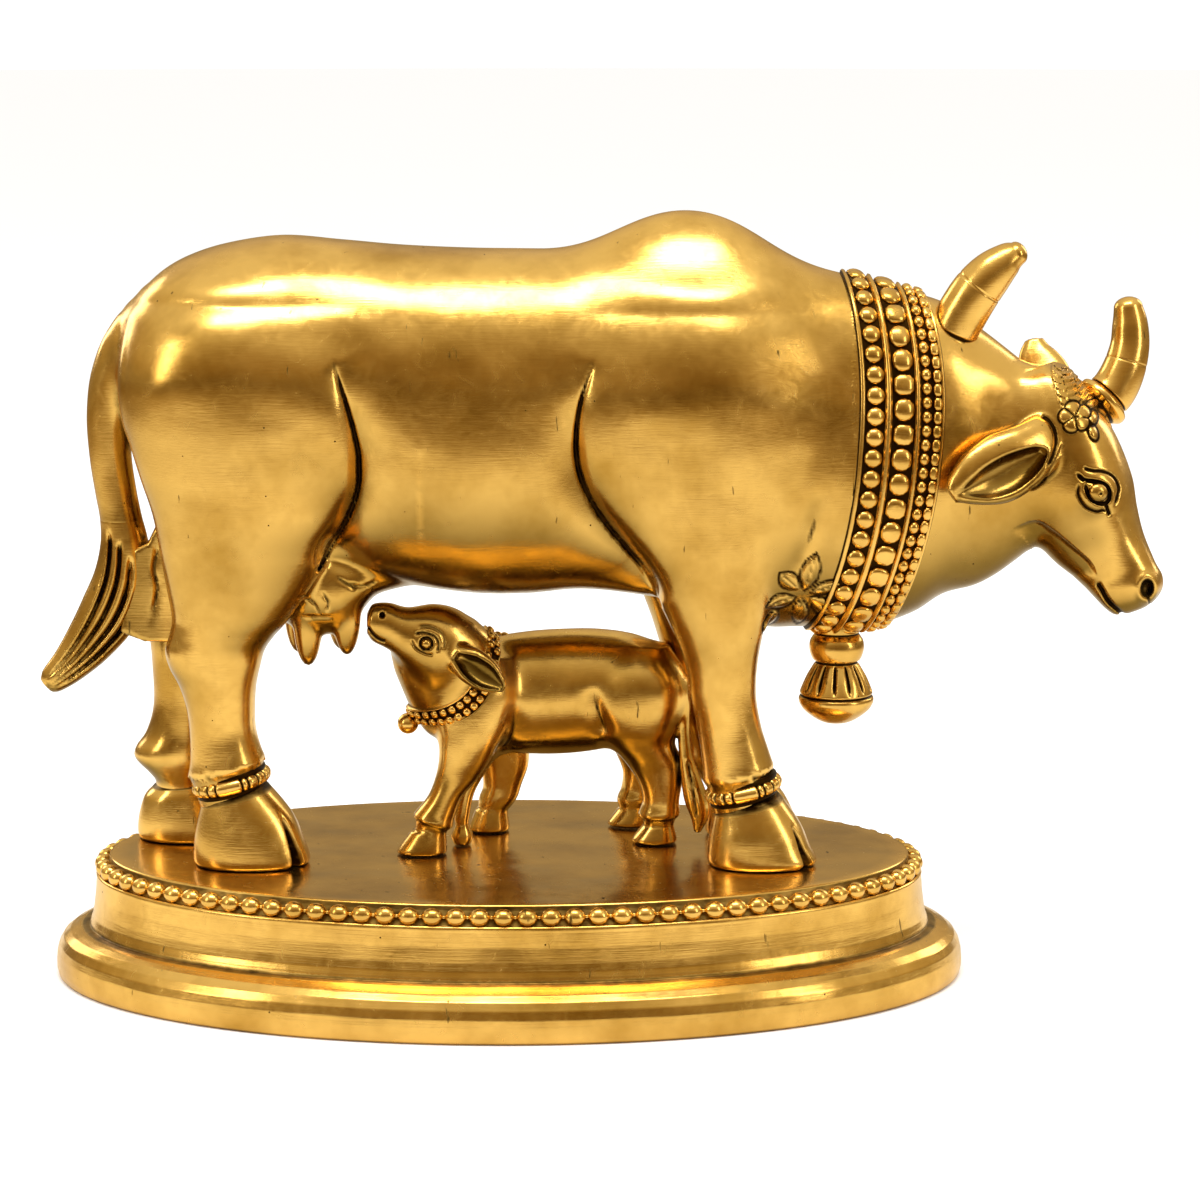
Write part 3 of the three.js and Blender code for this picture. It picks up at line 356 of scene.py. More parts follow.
def ball(rows, columns):
    """A unit ball: sines and cosines of two angles, with one point at each pole."""
    polar = np.linspace(0, math.pi, rows + 1)[1:-1, None]
    around = np.linspace(0, 2 * math.pi, columns, endpoint=False)[None, :]
    rings = np.stack([np.sin(polar) * np.cos(around), np.sin(polar) * np.sin(around),
                      np.cos(polar) + 0 * around], -1)
    points, faces = closed_loops(rings, flip=True)
    points[-2:] = [[0, 0, 1], [0, 0, -1]]
    return points, faces


def copies(shape, places, axes, halves):
    """Copies of a unit shape: each point times the half sizes, along its own three axes, moved."""
    points, faces = shape
    sized = points[None] * np.asarray(halves, float).reshape(-1, 1, 3)
    moved = np.einsum("npa,nac->npc", np.broadcast_to(sized, (len(places), *points.shape)), axes)
    shift = (np.arange(len(places)) * len(points))[:, None, None]
    return ((moved + places[:, None]).reshape(-1, 3),
            [(group[None] + shift).reshape(-1, group.shape[1]) for group in faces])


def together(*bodies):
    """Several bodies of points and faces as one."""
    points, faces, count = [], [], 0
    for body_points, body_faces in bodies:
        faces += [group + count for group in body_faces]
        points.append(body_points)
        count += len(body_points)
    return np.concatenate(points), faces


def spaced(path, count, shift):
    """Places evenly spaced along a closed path, by its length, with the direction of travel."""
    loop = np.vstack([path, path[:1]])
    length = np.concatenate([[0], np.cumsum(np.linalg.norm(np.diff(loop, axis=0), axis=1))])
    at = (np.arange(count) + shift) / count * length[-1] % length[-1]
    ahead = (at + length[-1] / 2000) % length[-1]
    places, next_places = (np.stack([np.interp(s, length, loop[:, axis]) for axis in range(3)], 1)
                           for s in (at, ahead))
    return places, unit(next_places - places)


fine_turn = np.linspace(0, 2 * math.pi, OVAL_STEPS, endpoint=False)
line = np.stack([(PLINTH_HALF_LENGTH - BEVEL_MIDDLE[0]) * np.cos(fine_turn),
                 (PLINTH_HALF_WIDTH - BEVEL_MIDDLE[0]) * np.sin(fine_turn),
                 0 * fine_turn + BEVEL_MIDDLE[1]], 1)
bodies = []
for shift, halves, rows, columns in ((0.5, BEAD_HALVES, 10, 14), (0.0, (LINK_RADIUS,) * 3, 5, 8)):
    places, travel = spaced(line, BEAD_COUNT, shift)
    outward = unit(np.cross(travel, [0, 0, 1.0]) * BEVEL_SLOPE[0] + [0, 0, BEVEL_SLOPE[1]])
    axes = np.stack([travel, np.cross(outward, travel), outward], 1)
    bodies.append(copies(ball(rows, columns), places + outward * BEAD_SEAT, axes, halves))
points, faces = together(*bodies)
beads = mesh_piece("plinth_beads", points, faces, plinth_brass, {"wax_and_shade": 0 * points[:, 0]})
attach(beads, "root")

# Cow's body: one brass casting of trunk, hump, legs, tail and udder, filed smooth and buffed.
# Where thigh and shoulder meet the belly the founder left a sharp crease, dark with old wax; painted shade
# browns the belly beside it.
LIFT = PLINTH_HEIGHT + SEAT_GAP
ROUNDNESS = 2.2
# Trunk and neck: [x, low, high, y, half width], in mm above the soles
TRUNK = [
    [-103.2, 126, 141, 0, 6], [-99.7, 114, 150, 0, 14], [-94, 104, 156.4, 0, 21.5],
    [-85.6, 92, 162.2, 0, 26.5], [-75, 84, 166.2, 0, 29.5], [-60, 80, 168.4, 0, 31.5],
    [-44, 78.5, 167.2, 0, 32.5], [-28, 74.6, 165.8, 0, 33], [-10, 72, 165, 0, 33],
    [5, 71.8, 164.8, 0, 32.5], [20, 73, 164.6, 0, 31.5], [35, 71.5, 163.8, 0, 30.5],
    [48, 69, 163.2, 0, 29.5], [60, 65, 162.6, 0, 28.5], [70, 62.5, 161.6, 0, 27.5],
    [80, 62.5, 160.2, 0, 26.5], [90, 62, 158.2, 0, 25.5], [100, 63, 155.5, 0, 24.5],
    [110, 66.5, 152.8, 0, 23], [118, 71.5, 150, 0, 21], [127, 74, 143.6, 0, 18.5],
    [135, 79, 137.5, -1, 16], [143, 87, 131, -3, 13], [149, 101, 126, -5, 8],
]
HUMP = ([48, 0, 148], [24, 15, 26.4])
# Legs: [z, front, rear, y, half width, tilt]
NEAR_HIND = [
    [152, -58, -84, -12, 8, 0], [145, -50, -92, -16, 13, 0], [134, -43.5, -97.5, -18, 15.5, 0],
    [122, -39, -99, -18.3, 16, 0], [109, -37, -97.8, -18.2, 16, 0], [96, -39.5, -94, -17.7, 15.5, 0],
    [85, -46.4, -92.2, -17, 14.3, 0], [76, -52, -90.8, -16.5, 13, 0], [67.6, -57.8, -89.6, -16, 12, 0],
    [62.8, -62, -90.4, -15.8, 11.2, 0], [58.8, -64.8, -91.6, -15.7, 10.7, 0],
    [54.2, -66.2, -90.6, -15.6, 10.5, 0], [48.7, -67.4, -87.9, -15.5, 10.2, 0],
    [42.5, -67.8, -86.1, -15.5, 9.9, 0.02], [36.5, -67.7, -85.5, -15.5, 9.8, 0.06],
    [30, -66.4, -85.5, -15.5, 10.3, 0.18],
    [26.2, -65.2, -86.2, -15.5, 10.7, 0.22], [25.2, -65.9, -85.4, -15.5, 9.8, 0.22],
    [15, -66.6, -82, -15.5, 8, 0.24],
]
FAR_HIND = [
    [152, -58, -84, 12, 8, 0], [145, -50, -92, 16, 13, 0], [134, -43.5, -97, 18, 15.5, 0],
    [122, -40, -98.5, 18.3, 16, 0], [109, -41, -97.5, 18.2, 16, 0], [96, -46, -94.5, 17.7, 15.5, 0],
    [85, -54, -94, 17, 14.3, 0], [76, -62, -95.5, 16.5, 13, 0], [68, -69, -98, 16, 12, 0],
    [60, -75, -99.6, 15.7, 11, 0], [50, -79, -99, 15.5, 10.2, 0], [38, -80.5, -98.8, 15.5, 10, 0],
    [30, -80.5, -101, 15.5, 10, 0], [25.5, -80.5, -104, 15.5, 10.4, 0],
    [22.5, -81, -104.2, 15.5, 10.3, 0], [18.5, -83, -100.4, 15.5, 9.4, 0],
    [15.8, -83.6, -98.6, 15.5, 8.7, 0], [12, -83.2, -99, 15.5, 8.4, 0.1],
]
NEAR_FRONT = [
    [150, 64, 36, -12, 8, 0], [142, 71, 28.5, -15.5, 11.5, 0], [130, 75, 22, -17, 14, 0],
    [115, 77, 19, -17, 14.8, 0], [101, 76.5, 20.8, -17, 14.6, 0], [91, 75, 26, -16.8, 14, 0],
    [77, 71.5, 37.5, -16.3, 12.8, 0], [65, 69, 44, -16, 11.8, 0], [55, 67.3, 47.8, -15.7, 10.6, 0],
    [46, 67, 49.5, -15.5, 10, 0], [37, 68.5, 51.3, -15.5, 9.8, 0.05],
    [29, 70.6, 52.6, -15.5, 10, 0.2], [24.4, 71.9, 53, -15.5, 10.5, 0.24],
    [23.4, 71, 53.8, -15.5, 9.7, 0.24], [12, 71, 56.5, -15.5, 8, 0.22],
]
FAR_FRONT = [
    [150, 64, 36, 12, 8, 0], [142, 71, 28.5, 15.5, 11.5, 0], [130, 75, 22, 17, 14, 0],
    [115, 77, 19, 17, 14.8, 0], [101, 76, 20.8, 17.2, 14.4, 0], [91, 73.5, 25, 17.6, 13.6, 0],
    [77, 69, 33, 18.6, 11.8, 0], [65, 65.5, 38, 19.2, 10.4, 0], [55, 63.5, 41.3, 19.5, 9.6, 0],
    [46, 63.5, 44, 19.5, 9.4, 0], [37, 65.5, 46.6, 19.2, 9.6, 0.05],
    [28, 68.5, 49.5, 18.8, 9.8, 0.2], [22.5, 69.5, 50.5, 18.5, 10, 0.25],
    [12, 70, 56.5, 18.5, 8, 0.2],
]
# Tail, from the rump to the tip of the tuft: [x, y, z, half height, half width]
TAIL = [
    [-93, 0, 149, 5, 8], [-101, 0, 141, 6.2, 7.6], [-105.8, 0, 131, 6, 7],
    [-107.4, 0, 120, 5.9, 6.5], [-107.2, 0, 109, 5.6, 6.2], [-106.1, 0, 100, 5.5, 6.2],
    [-104.8, 0, 92, 5.6, 6.4], [-104, 0, 84, 6.6, 6.8], [-105, 0, 75, 7.7, 7.2],
    [-108.3, 0, 66.5, 8.1, 7.2], [-113.4, 0, 58.8, 7, 6.4], [-119, 0, 52.2, 5.4, 5.2],
    [-124.2, 0, 47.4, 3.9, 3.8], [-126, 0, 45.8, 2.6, 2.6],
]
# Locks of the tuft: grooves between them, at this share of its height from the station given
TUFT_LINES = [[-0.5, 6.2], [-0.08, 6.6], [0.34, 7.1], [0.7, 7.9]]
TUFT_GROOVE_DEPTH, TUFT_GROOVE_WIDTH = 1.9, 0.55
TUFT_SUNK = 0.3
TUFT_CUT_Z = 93
UDDER = [
    [-67, 72, 80, -2, 5], [-62, 65, 85, -2, 11], [-52, 60.8, 88, -2, 14], [-45, 61.5, 88, -2, 13.5],
    [-40, 66.5, 87, -2, 12.5], [-35.5, 71.4, 86, -2, 11], [-29, 73.6, 84, -2, 8],
    [-24, 76, 82, -2, 4],
]
TEATS = [[-53.9, -8.5, 52.9], [-43.4, -8.5, 55.9], [-57.5, 5, 53.9], [-46, 5, 54.9]]
TEAT_HALVES = (3.9, 3.9, 12.5)
# The web of metal left between tuft and thighs: [x, z] round its edge
WEB_OUTLINE = [
    [-101, 84], [-97, 86], [-94.6, 91], [-88, 91], [-86, 60], [-91, 58.6], [-98, 58.8], [-105, 61.5],
]
WEB_NEAR_Y, WEB_FAR_Y = -6, 1
# Creases on both flanks: points [x, z]; then 1 where the belly lies ahead of it, -1 behind it
THIGH_CREASE = [[-44.6, 137.5], [-43.6, 134.7], [-40.5, 123.9], [-38.7, 115.5], [-38.3, 110.7],
                [-38.6, 104.7], [-40.3, 98.9], [-43.2, 92.8], [-46.3, 87.5], [-50, 81]]
SHOULDER_CREASE = [[23.8, 138], [22.7, 135.3], [20.0, 127.1], [18.8, 119.5], [18.8, 112.4],
                   [20.0, 106.4], [22.6, 100.3], [26.3, 94.2], [31.4, 87.6], [34.9, 83.0],
                   [38.4, 76.5], [41, 71]]
CREASES = [(THIGH_CREASE, 1), (SHOULDER_CREASE, -1)]
CREASE_DEPTH = 4.8
CREASE_LEG_REACH = 2.8
CREASE_BELLY_REACH = 6.6
SLIT_DEPTH = 1.3
SLIT_HALF_WIDTH = 0.48
# Painted shade beside the creases: its strength, and how far it reaches over the belly and onto the leg
CREASE_SHADE, CREASE_SHADE_REACH, CREASE_SHADE_LEG_REACH = 0.75, 5.0, 1.2
# Marks cut on both sides of the body, as points [x, z]: the ragged edge of the web, folds and
# lines of the chest, and scratches on the udder. A leaf is [x, z, half length, half width, turn].
WEB_EDGE = [[-95, 90], [-94.6, 84], [-95.4, 79], [-94.7, 74], [-95.6, 68], [-97.1, 62]]
CHEST_FOLDS = [[[82.4, 103], [80.6, 91], [78.4, 84.5], [74.2, 74]]]
CHEST_LINES = [[[82, 96.6], [81.2, 92.4], [79.6, 87]]]
LEAVES = [[80.9, 80.6, 5.2, 2.1, 1.3], [85.6, 76.2, 4.4, 1.6, 0.36], [75.2, 78.2, 3.4, 2.1, 2.35],
          [84.6, 70.4, 4.2, 2.2, -0.7], [78.6, 68.6, 4, 1.9, -1.65], [73.2, 72.2, 4, 1.9, 3.4],
          [70.6, 66.6, 3.4, 1.6, -2.2]]
UDDER_MARKS = [[[-56.5, 74], [-51.8, 71.5], [-49.6, 66.2]], [[-55.2, 66.9], [-50.6, 67.4], [-45.8, 67.2]],
               [[-46, 78.4], [-42.6, 76.2], [-39.8, 74.2]], [[-43.4, 76.8], [-38.6, 75.5], [-33.6, 77.6]],
               [[-49.6, 74.6], [-47.8, 71.2], [-48.6, 68.2]]]
# The same marks with their depth, half width, darkness and distance from the middle of the body
MARKS = [([WEB_EDGE], 0.9, 0.5, 0.9, 4), (CHEST_FOLDS, 1.3, 2.4, 0.0, 8), (CHEST_LINES, 0.7, 0.7, 0.8, 8),
         (UDDER_MARKS, 0.6, 0.4, 0.9, 5)]
LEAVES_REAR, LEAVES_LOW, LEAVES_HIGH = 62, 60, 90
COLLAR_CUT_X = 93
LIMB_STEPS = 16
# Places are worked out so many at a time, and a field reads as this many mm far from its shapes.
BATCH = 40000
FAR_AWAY = 40.0


def smooth_rows(stations, steps=12):
    """Rows along a Catmull-Rom curve through the stations, so many steps from each to the next."""
    rows = np.array(stations, float)
    wide = np.vstack([2 * rows[0] - rows[1], rows, 2 * rows[-1] - rows[-2]])
    t = np.linspace(0, 1, steps, endpoint=False)[None, :, None]
    a, b, c, d = (wide[at:at + len(rows) - 1][:, None, :] for at in range(4))
    curve = b + (c - a) * t / 2 + (2 * a - 5 * b + 4 * c - d) * t ** 2 / 2
    curve = curve + (3 * b - a - 3 * c + d) * t ** 3 / 2
    return np.vstack([curve.reshape(-1, rows.shape[1]), rows[-1:]])


def round_section(across, up, half, tall, power):
    """Distance to a superellipse along the ray from its middle: radius less radius over share."""
    across, up = across + 1e-5, up + 1e-5
    radius = np.hypot(across, up)
    share = (np.abs(across / half) ** power + np.abs(up / tall) ** power) ** (1 / power)
    return radius - radius / share


def with_ends(side, beyond):
    """Distance to a body known by its side and its flat ends: inside the larger, outside both."""
    return np.minimum(np.maximum(side, beyond), 0) + np.hypot(np.maximum(side, 0),
                                                              np.maximum(beyond, 0))


def lengthwise(stations, power=ROUNDNESS):
    """A field that is negative inside a body lofted along x through [x, low, high, y, half]."""
    rows = smooth_rows(stations)
    x, middle, tall = rows[:, 0], (rows[:, 1] + rows[:, 2]) / 2, (rows[:, 2] - rows[:, 1]) / 2
    slope = np.hypot(1, np.gradient((tall + rows[:, 4]) / 2, x))

    def distance(p):
        """Distance to the section at this x, over the slope of the sides there."""
        at = [np.interp(p[:, 0], x, column) for column in (rows[:, 3], middle, rows[:, 4], tall, slope)]
        side = round_section(p[:, 1] - at[0], p[:, 2] - at[1], at[2], at[3], power) / at[4]
        return with_ends(side, np.maximum(x[0] - p[:, 0], p[:, 0] - x[-1]))
    low = [x[0], (rows[:, 3] - rows[:, 4]).min(), rows[:, 1].min()]
    high = [x[-1], (rows[:, 3] + rows[:, 4]).max(), rows[:, 2].max()]
    return distance, low, high


def downwards(stations):
    """A field for a leg lofted along z through [z, front, rear, y, half, tilt], its rings raised
    forwards by the tilt times their length."""
    rows = smooth_rows(stations)[::-1]
    z, middle, long = rows[:, 0], (rows[:, 1] + rows[:, 2]) / 2, np.abs(rows[:, 1] - rows[:, 2]) / 2
    slope = np.sqrt(1 + np.gradient((long + rows[:, 4]) / 2, z) ** 2 + np.gradient(middle, z) ** 2 / 2)

    def distance(p):
        """Distance to the section at this level, over the slope; a tilted one is found in two tries."""
        level = p[:, 2]
        for _ in range(2):
            level = p[:, 2] - (p[:, 0] - np.interp(level, z, middle)) * np.interp(level, z, rows[:, 5])
        at = [np.interp(level, z, column) for column in (middle, rows[:, 3], long, rows[:, 4], slope)]
        side = round_section(p[:, 0] - at[0], p[:, 1] - at[1], at[2], at[3], ROUNDNESS) / at[4]
        return with_ends(side, np.maximum(z[0] - level, level - z[-1]))
    low = [rows[:, 1:3].min(), (rows[:, 3] - rows[:, 4]).min(), z[0] - 3]
    high = [rows[:, 1:3].max(), (rows[:, 3] + rows[:, 4]).max(), z[-1] + 3]
    return distance, low, high


def frames_along(path):
    """At each point of a path: the way ahead, the way across nearest to y, and the way up."""
    ahead = unit(np.gradient(path, axis=0))
    across = unit([0, 1, 0] - ahead * ahead[:, 1:2])
    return ahead, across, np.cross(ahead, across)


def limb(stations, power=2.0):
    """A field for a rounded limb along a curve through [x, y, z, half height, half width]: the
    nearest point of the curve is found, and the section there gives the distance."""
    rows = smooth_rows(stations, LIMB_STEPS)
    path = rows[:, :3]
    ahead, across, up = frames_along(path)
    gap = np.linalg.norm(np.diff(path, axis=0), axis=1).mean()

    def distance(p):
        """Distance to the section between the nearest row and the next one towards the place."""
        result = np.empty(len(p))
        for start in range(0, len(p), BATCH):
            part = p[start:start + BATCH]
            square = (part ** 2).sum(1)[:, None] - 2 * part @ path.T + (path ** 2).sum(1)[None]
            near = square.argmin(1)
            away = part - path[near]
            on = np.clip((away * ahead[near]).sum(1), -gap, gap)
            other = np.clip(near + np.sign(on).astype(int), 0, len(path) - 1)
            share = np.minimum(np.abs(on) / gap, 1)[:, None]
            centre = path[near] * (1 - share) + path[other] * share
            sizes = rows[near, 3:5] * (1 - share) + rows[other, 3:5] * share
            away = part - centre
            side_distance = round_section((away * across[near]).sum(1), (away * up[near]).sum(1),
                                          sizes[:, 1], sizes[:, 0], power)
            tip = np.maximum(((part - path[-1]) * ahead[-1]).sum(1), -((part - path[0]) * ahead[0]).sum(1))
            tip = np.where((near == 0) | (near == len(path) - 1), tip, -9.0)
            result[start:start + BATCH] = with_ends(side_distance, tip)
        return result
    reach = rows[:, 3:5].max(1)[:, None]
    return distance, (path - reach).min(0), (path + reach).max(0)


def egg(centre, halves):
    """A field for an egg: with k the scaled radius and m the twice scaled, k times k - 1 over m."""
    centre, halves = np.array(centre, float), np.array(halves, float)

    def distance(p):
        """The egg's formula at these places."""
        q = p - centre
        k = np.linalg.norm(q / halves, axis=1) + 1e-9
        return k * (k - 1) / (np.linalg.norm(q / halves ** 2, axis=1) + 1e-9)
    return distance, centre - halves, centre + halves


def slab(outline, near_y, far_y):
    """A field for a flat web: distance to a polygon in x and z, and to its two faces in y."""
    corners = np.array(outline, float)

    def distance(p):
        """Distance to the nearest edge, negative where an odd number of edges lies ahead."""
        q = p[:, [0, 2]]
        best, inside = np.full(len(q), 1e9), np.zeros(len(q), bool)
        for a, b in zip(corners, np.roll(corners, -1, 0)):
            edge, away = b - a, q - a
            share = np.clip(away @ edge / (edge @ edge), 0, 1)
            best = np.minimum(best, np.linalg.norm(away - share[:, None] * edge, axis=1))
            rising = (a[1] <= q[:, 1]) != (b[1] <= q[:, 1])
            crossing = a[0] + (q[:, 1] - a[1]) * edge[0] / (edge[1] if edge[1] else 1e-9)
            inside ^= rising & (q[:, 0] < crossing)
        flat = np.where(inside, -best, best)
        return with_ends(flat, np.abs(p[:, 1] - (near_y + far_y) / 2) - (far_y - near_y) / 2)
    low, high = corners.min(0), corners.max(0)
    return distance, [low[0], near_y, low[1]], [high[0], far_y, high[1]]


def blended(a, b, width):
    """The smaller of two fields, rounded over a width where they cross."""
    h = np.maximum(width - np.abs(a - b), 0) / width
    return np.minimum(a, b) - h * h * width / 4


def union(parts):
    """A field for many shapes: each is blended in over its own width, inside its own box."""
    def distance(p):
        """The parts' fields, blended one after another."""
        total = np.full(len(p), FAR_AWAY)
        for (shape, low, high), width in parts:
            widest = 20.0 if callable(width) else width
            room = widest + 6
            near = ((p > np.array(low) - room) & (p < np.array(high) + room)).all(1)
            if near.any():
                q = p[near]
                size = width(q) if callable(width) else width
                total[near] = blended(total[near], shape(q), size)
        return total
    return distance


def smooth_step(low, high, value):
    """0 below low and 1 above high, with a smooth rise between."""
    t = np.clip((value - low) / (high - low), 0, 1)
    return t * t * (3 - 2 * t)


def beside_line(stations, flat, reach):
    """Signed distance in a plane to a smooth line, positive on its right, and how far along it."""
    line = smooth_rows(stations, 8)
    ahead = np.gradient(line, axis=0)
    pace = np.linalg.norm(ahead, axis=1)
    ahead /= pace[:, None]
    low, high = line.min(0) - reach, line.max(0) + reach
    aside, along = np.full(len(flat), 99.0), np.zeros(len(flat))
    near = ((flat > low) & (flat < high)).all(1)
    q = flat[near]
    nearest = ((q ** 2).sum(1)[:, None] - 2 * q @ line.T + (line ** 2).sum(1)[None]).argmin(1)
    away = q - line[nearest]
    last = len(line) - 1
    slide = (away * ahead[nearest]).sum(1)
    right = away[:, 0] * ahead[nearest, 1] - away[:, 1] * ahead[nearest, 0]
    beyond = ((nearest == 0) & (slide < 0)) | ((nearest == last) & (slide > 0))
    aside[near] = np.where(beyond, np.sign(right) * np.linalg.norm(away, axis=1), right)
    along[near] = np.clip((nearest + slide / pace[nearest]) / last, 0, 1)
    return aside, along


def creased(p):
    """How far the flank is sunk, how waxy it is and how much painted shade it has: a sharp valley
    along each crease, steep on the leg's side and falling away over the belly, with a narrow slit
    at its bottom, and painted shade over the belly beside it."""
    depth, dark, brown_shade = np.zeros(len(p)), np.zeros(len(p)), np.zeros(len(p))
    flank = smooth_step(10, 17, np.abs(p[:, 1]))
    for line, belly in CREASES:
        aside, along = beside_line(line, p[:, [0, 2]], 16)
        aside = -aside * belly
        fade = smooth_step(0.0, 0.45, along) * (1 - smooth_step(0.88, 1.0, along)) * flank
        leg = np.exp(-(np.abs(np.minimum(aside, 0)) / CREASE_LEG_REACH) ** 1.5)
        over = np.exp(-(np.maximum(aside, 0) / CREASE_BELLY_REACH) ** 1.3)
        slit = np.exp(-(aside / SLIT_HALF_WIDTH) ** 2) * smooth_step(0.0, 0.22, along) * flank
        depth = np.maximum(depth, CREASE_DEPTH * fade * leg * over + SLIT_DEPTH * slit)
        dark = np.maximum(dark, 1.1 * slit ** 2)
        # Painted shade: browner metal over the belly beside the crease, stronger lower down.
        shade = np.exp(-(np.maximum(aside, 0) / CREASE_SHADE_REACH) ** 1.3
                       - (np.minimum(aside, 0) / CREASE_SHADE_LEG_REACH) ** 2)
        lower = 0.35 + 0.65 * smooth_step(0.3, 0.75, along)
        brown_shade = np.maximum(brown_shade, CREASE_SHADE * shade * fade * lower)
    return depth, dark, brown_shade


def seen_from(flat, x, z, angle):
    """How far along and how far aside places lie, seen from the middle of a turned mark."""
    c, s = math.cos(angle), math.sin(angle)
    right, up = flat[:, 0] - x, flat[:, 1] - z
    return right * c + up * s, up * c - right * s


def leafy(flat):
    """Height and darkness of the leaves chased on the chest: each an almond with a rib."""
    height, dark = np.zeros(len(flat)), np.zeros(len(flat))
    for x, z, long, wide, angle in LEAVES:
        along, aside = seen_from(flat, x, z, angle)
        along, aside = along / long, aside / wide
        reach = np.abs(aside) + along ** 2
        inside = np.clip(1 - reach ** 2, 0, 1)
        rib = np.exp(-(aside * wide / 0.3) ** 2) * (np.abs(along) < 0.85)
        height = np.maximum(height, (0.9 - 0.5 * rib) * np.sqrt(inside))
        dark = np.maximum(dark, np.exp(-((reach - 1.18) * wide / 0.55) ** 2))
        dark = np.maximum(dark, 0.7 * rib * inside)
    return height, dark * (height < 0.6)


def marked(p):
    """Depth and darkness of the marks cut on the body: lines by their distance, and leaves."""
    depth, dark = np.zeros(len(p)), np.zeros(len(p))
    flat, side = p[:, [0, 2]], np.abs(p[:, 1])
    for lines, deep, half_width, blackness, off_middle in MARKS:
        for points in lines:
            aside, along = beside_line(points, flat, 6)
            taper = smooth_step(0, 0.3, along) * (1 - smooth_step(0.7, 1, along)) * (side > off_middle)
            line = taper * np.exp(-(aside / half_width) ** 2)
            depth = np.maximum(depth, deep * line)
            dark = np.maximum(dark, blackness * line)
    chest = (p[:, 0] > LEAVES_REAR) & (p[:, 0] < COLLAR_CUT_X)
    chest &= (p[:, 2] > LEAVES_LOW) & (p[:, 2] < LEAVES_HIGH)
    height, shade = leafy(flat[chest])
    depth[chest] -= height
    dark[chest] = np.maximum(dark[chest], shade)
    return depth, dark


def leg_blend(p):
    """Legs run softly into the trunk at the top and meet it tightly below the belly."""
    return 4 + 12 * smooth_step(92, 138, p[:, 2])


tail = limb(TAIL, 2.2)
tail_rows = smooth_rows(TAIL, LIMB_STEPS)


def tail_lines(p):
    """How near a place is to a groove between locks: a bell curve of the distance from each
    groove's own share of the tuft's height, faded in at its start and out at the tip."""
    path = tail_rows[:, :3]
    _, _, up = frames_along(path)
    near = ((p ** 2).sum(1)[:, None] - 2 * p @ path.T + (path ** 2).sum(1)[None]).argmin(1)
    height = ((p - path[near]) * up[near]).sum(1) / tail_rows[near, 3]
    station = near / LIMB_STEPS
    total = np.zeros(len(p))
    for share, start in TUFT_LINES:
        drift = share * (1 - 0.35 * smooth_step(start, 13, station))
        gap = np.abs(height - drift) * tail_rows[near, 3]
        fade = smooth_step(start, start + 0.6, station) * (1 - smooth_step(11.2, 12.3, station))
        fade *= 1 - 0.6 * smooth_step(start + 1.5, 12.6, station)
        total = np.maximum(total, fade * np.exp(-(gap / TUFT_GROOVE_WIDTH) ** 2))
    return total


def tail_field(p):
    """The tuft with its grooves, from a little above the place where the locks begin."""
    hidden = TUFT_SUNK * smooth_step(TUFT_CUT_Z - 1.5, TUFT_CUT_Z, p[:, 2])
    sunk = tail[0](p) + TUFT_GROOVE_DEPTH * tail_lines(p) + hidden
    return np.maximum(sunk, p[:, 2] - TUFT_CUT_Z)


def tail_above(p):
    """The plain part of the tail, which ends inside the tuft."""
    hidden = TUFT_SUNK * smooth_step(TUFT_CUT_Z - 1.5, TUFT_CUT_Z - 3, p[:, 2])
    return np.maximum(tail[0](p) + hidden, TUFT_CUT_Z - 5 - p[:, 2])


body_parts = [
    (lengthwise(TRUNK), 1.0),
    (egg(*HUMP), 18.0),
    (downwards(NEAR_HIND), leg_blend),
    (downwards(FAR_HIND), leg_blend),
    (downwards(NEAR_FRONT), leg_blend),
    (downwards(FAR_FRONT), leg_blend),
    (lengthwise(UDDER), 2.5),
    ((tail_above, tail[1], tail[2]), 4.0),
    (slab(WEB_OUTLINE, WEB_NEAR_Y, WEB_FAR_Y), 2.5),
]
for x, y, tip in TEATS:
    body_parts.append((egg([x, y, tip + TEAT_HALVES[2]], TEAT_HALVES), 2.0))
whole_body = union(body_parts)


def cow_field(p):
    """The cow's body with its creases and marks."""
    return whole_body(p) + creased(p)[0] + marked(p)[0]


def body_field(p):
    """The cow's body as far as the collar, which hides the cut."""
    return np.maximum(cow_field(p), p[:, 0] - COLLAR_CUT_X)


def graded(low, high, step, fine=(), fine_step=0.8):
    """Grid lines from low to high that are a step apart, or the fine step inside the fine spans."""
    lines = [low]
    while lines[-1] < high:
        here = lines[-1]
        close = any(a - 2 < here < b + 2 for a, b in fine)
        lines.append(here + (fine_step if close else step))
    return np.array(lines)


GRADIENT_REACH = 0.05
# Rounds of evening out, the share of the way to the neighbours' mean, and the longest move in mm
EVENING_ROUNDS, EVENING_SHARE, LONGEST_MOVE = 4, 0.6, 0.6


def gradient_of(field, p):
    """The field's slope at points, from its values at four corners round each of them."""
    corners = np.array([[1, -1, -1], [-1, -1, 1], [-1, 1, -1], [1, 1, 1]], float)
    return sum(c * field(p + c * GRADIENT_REACH)[:, None] for c in corners) / (4 * GRADIENT_REACH)


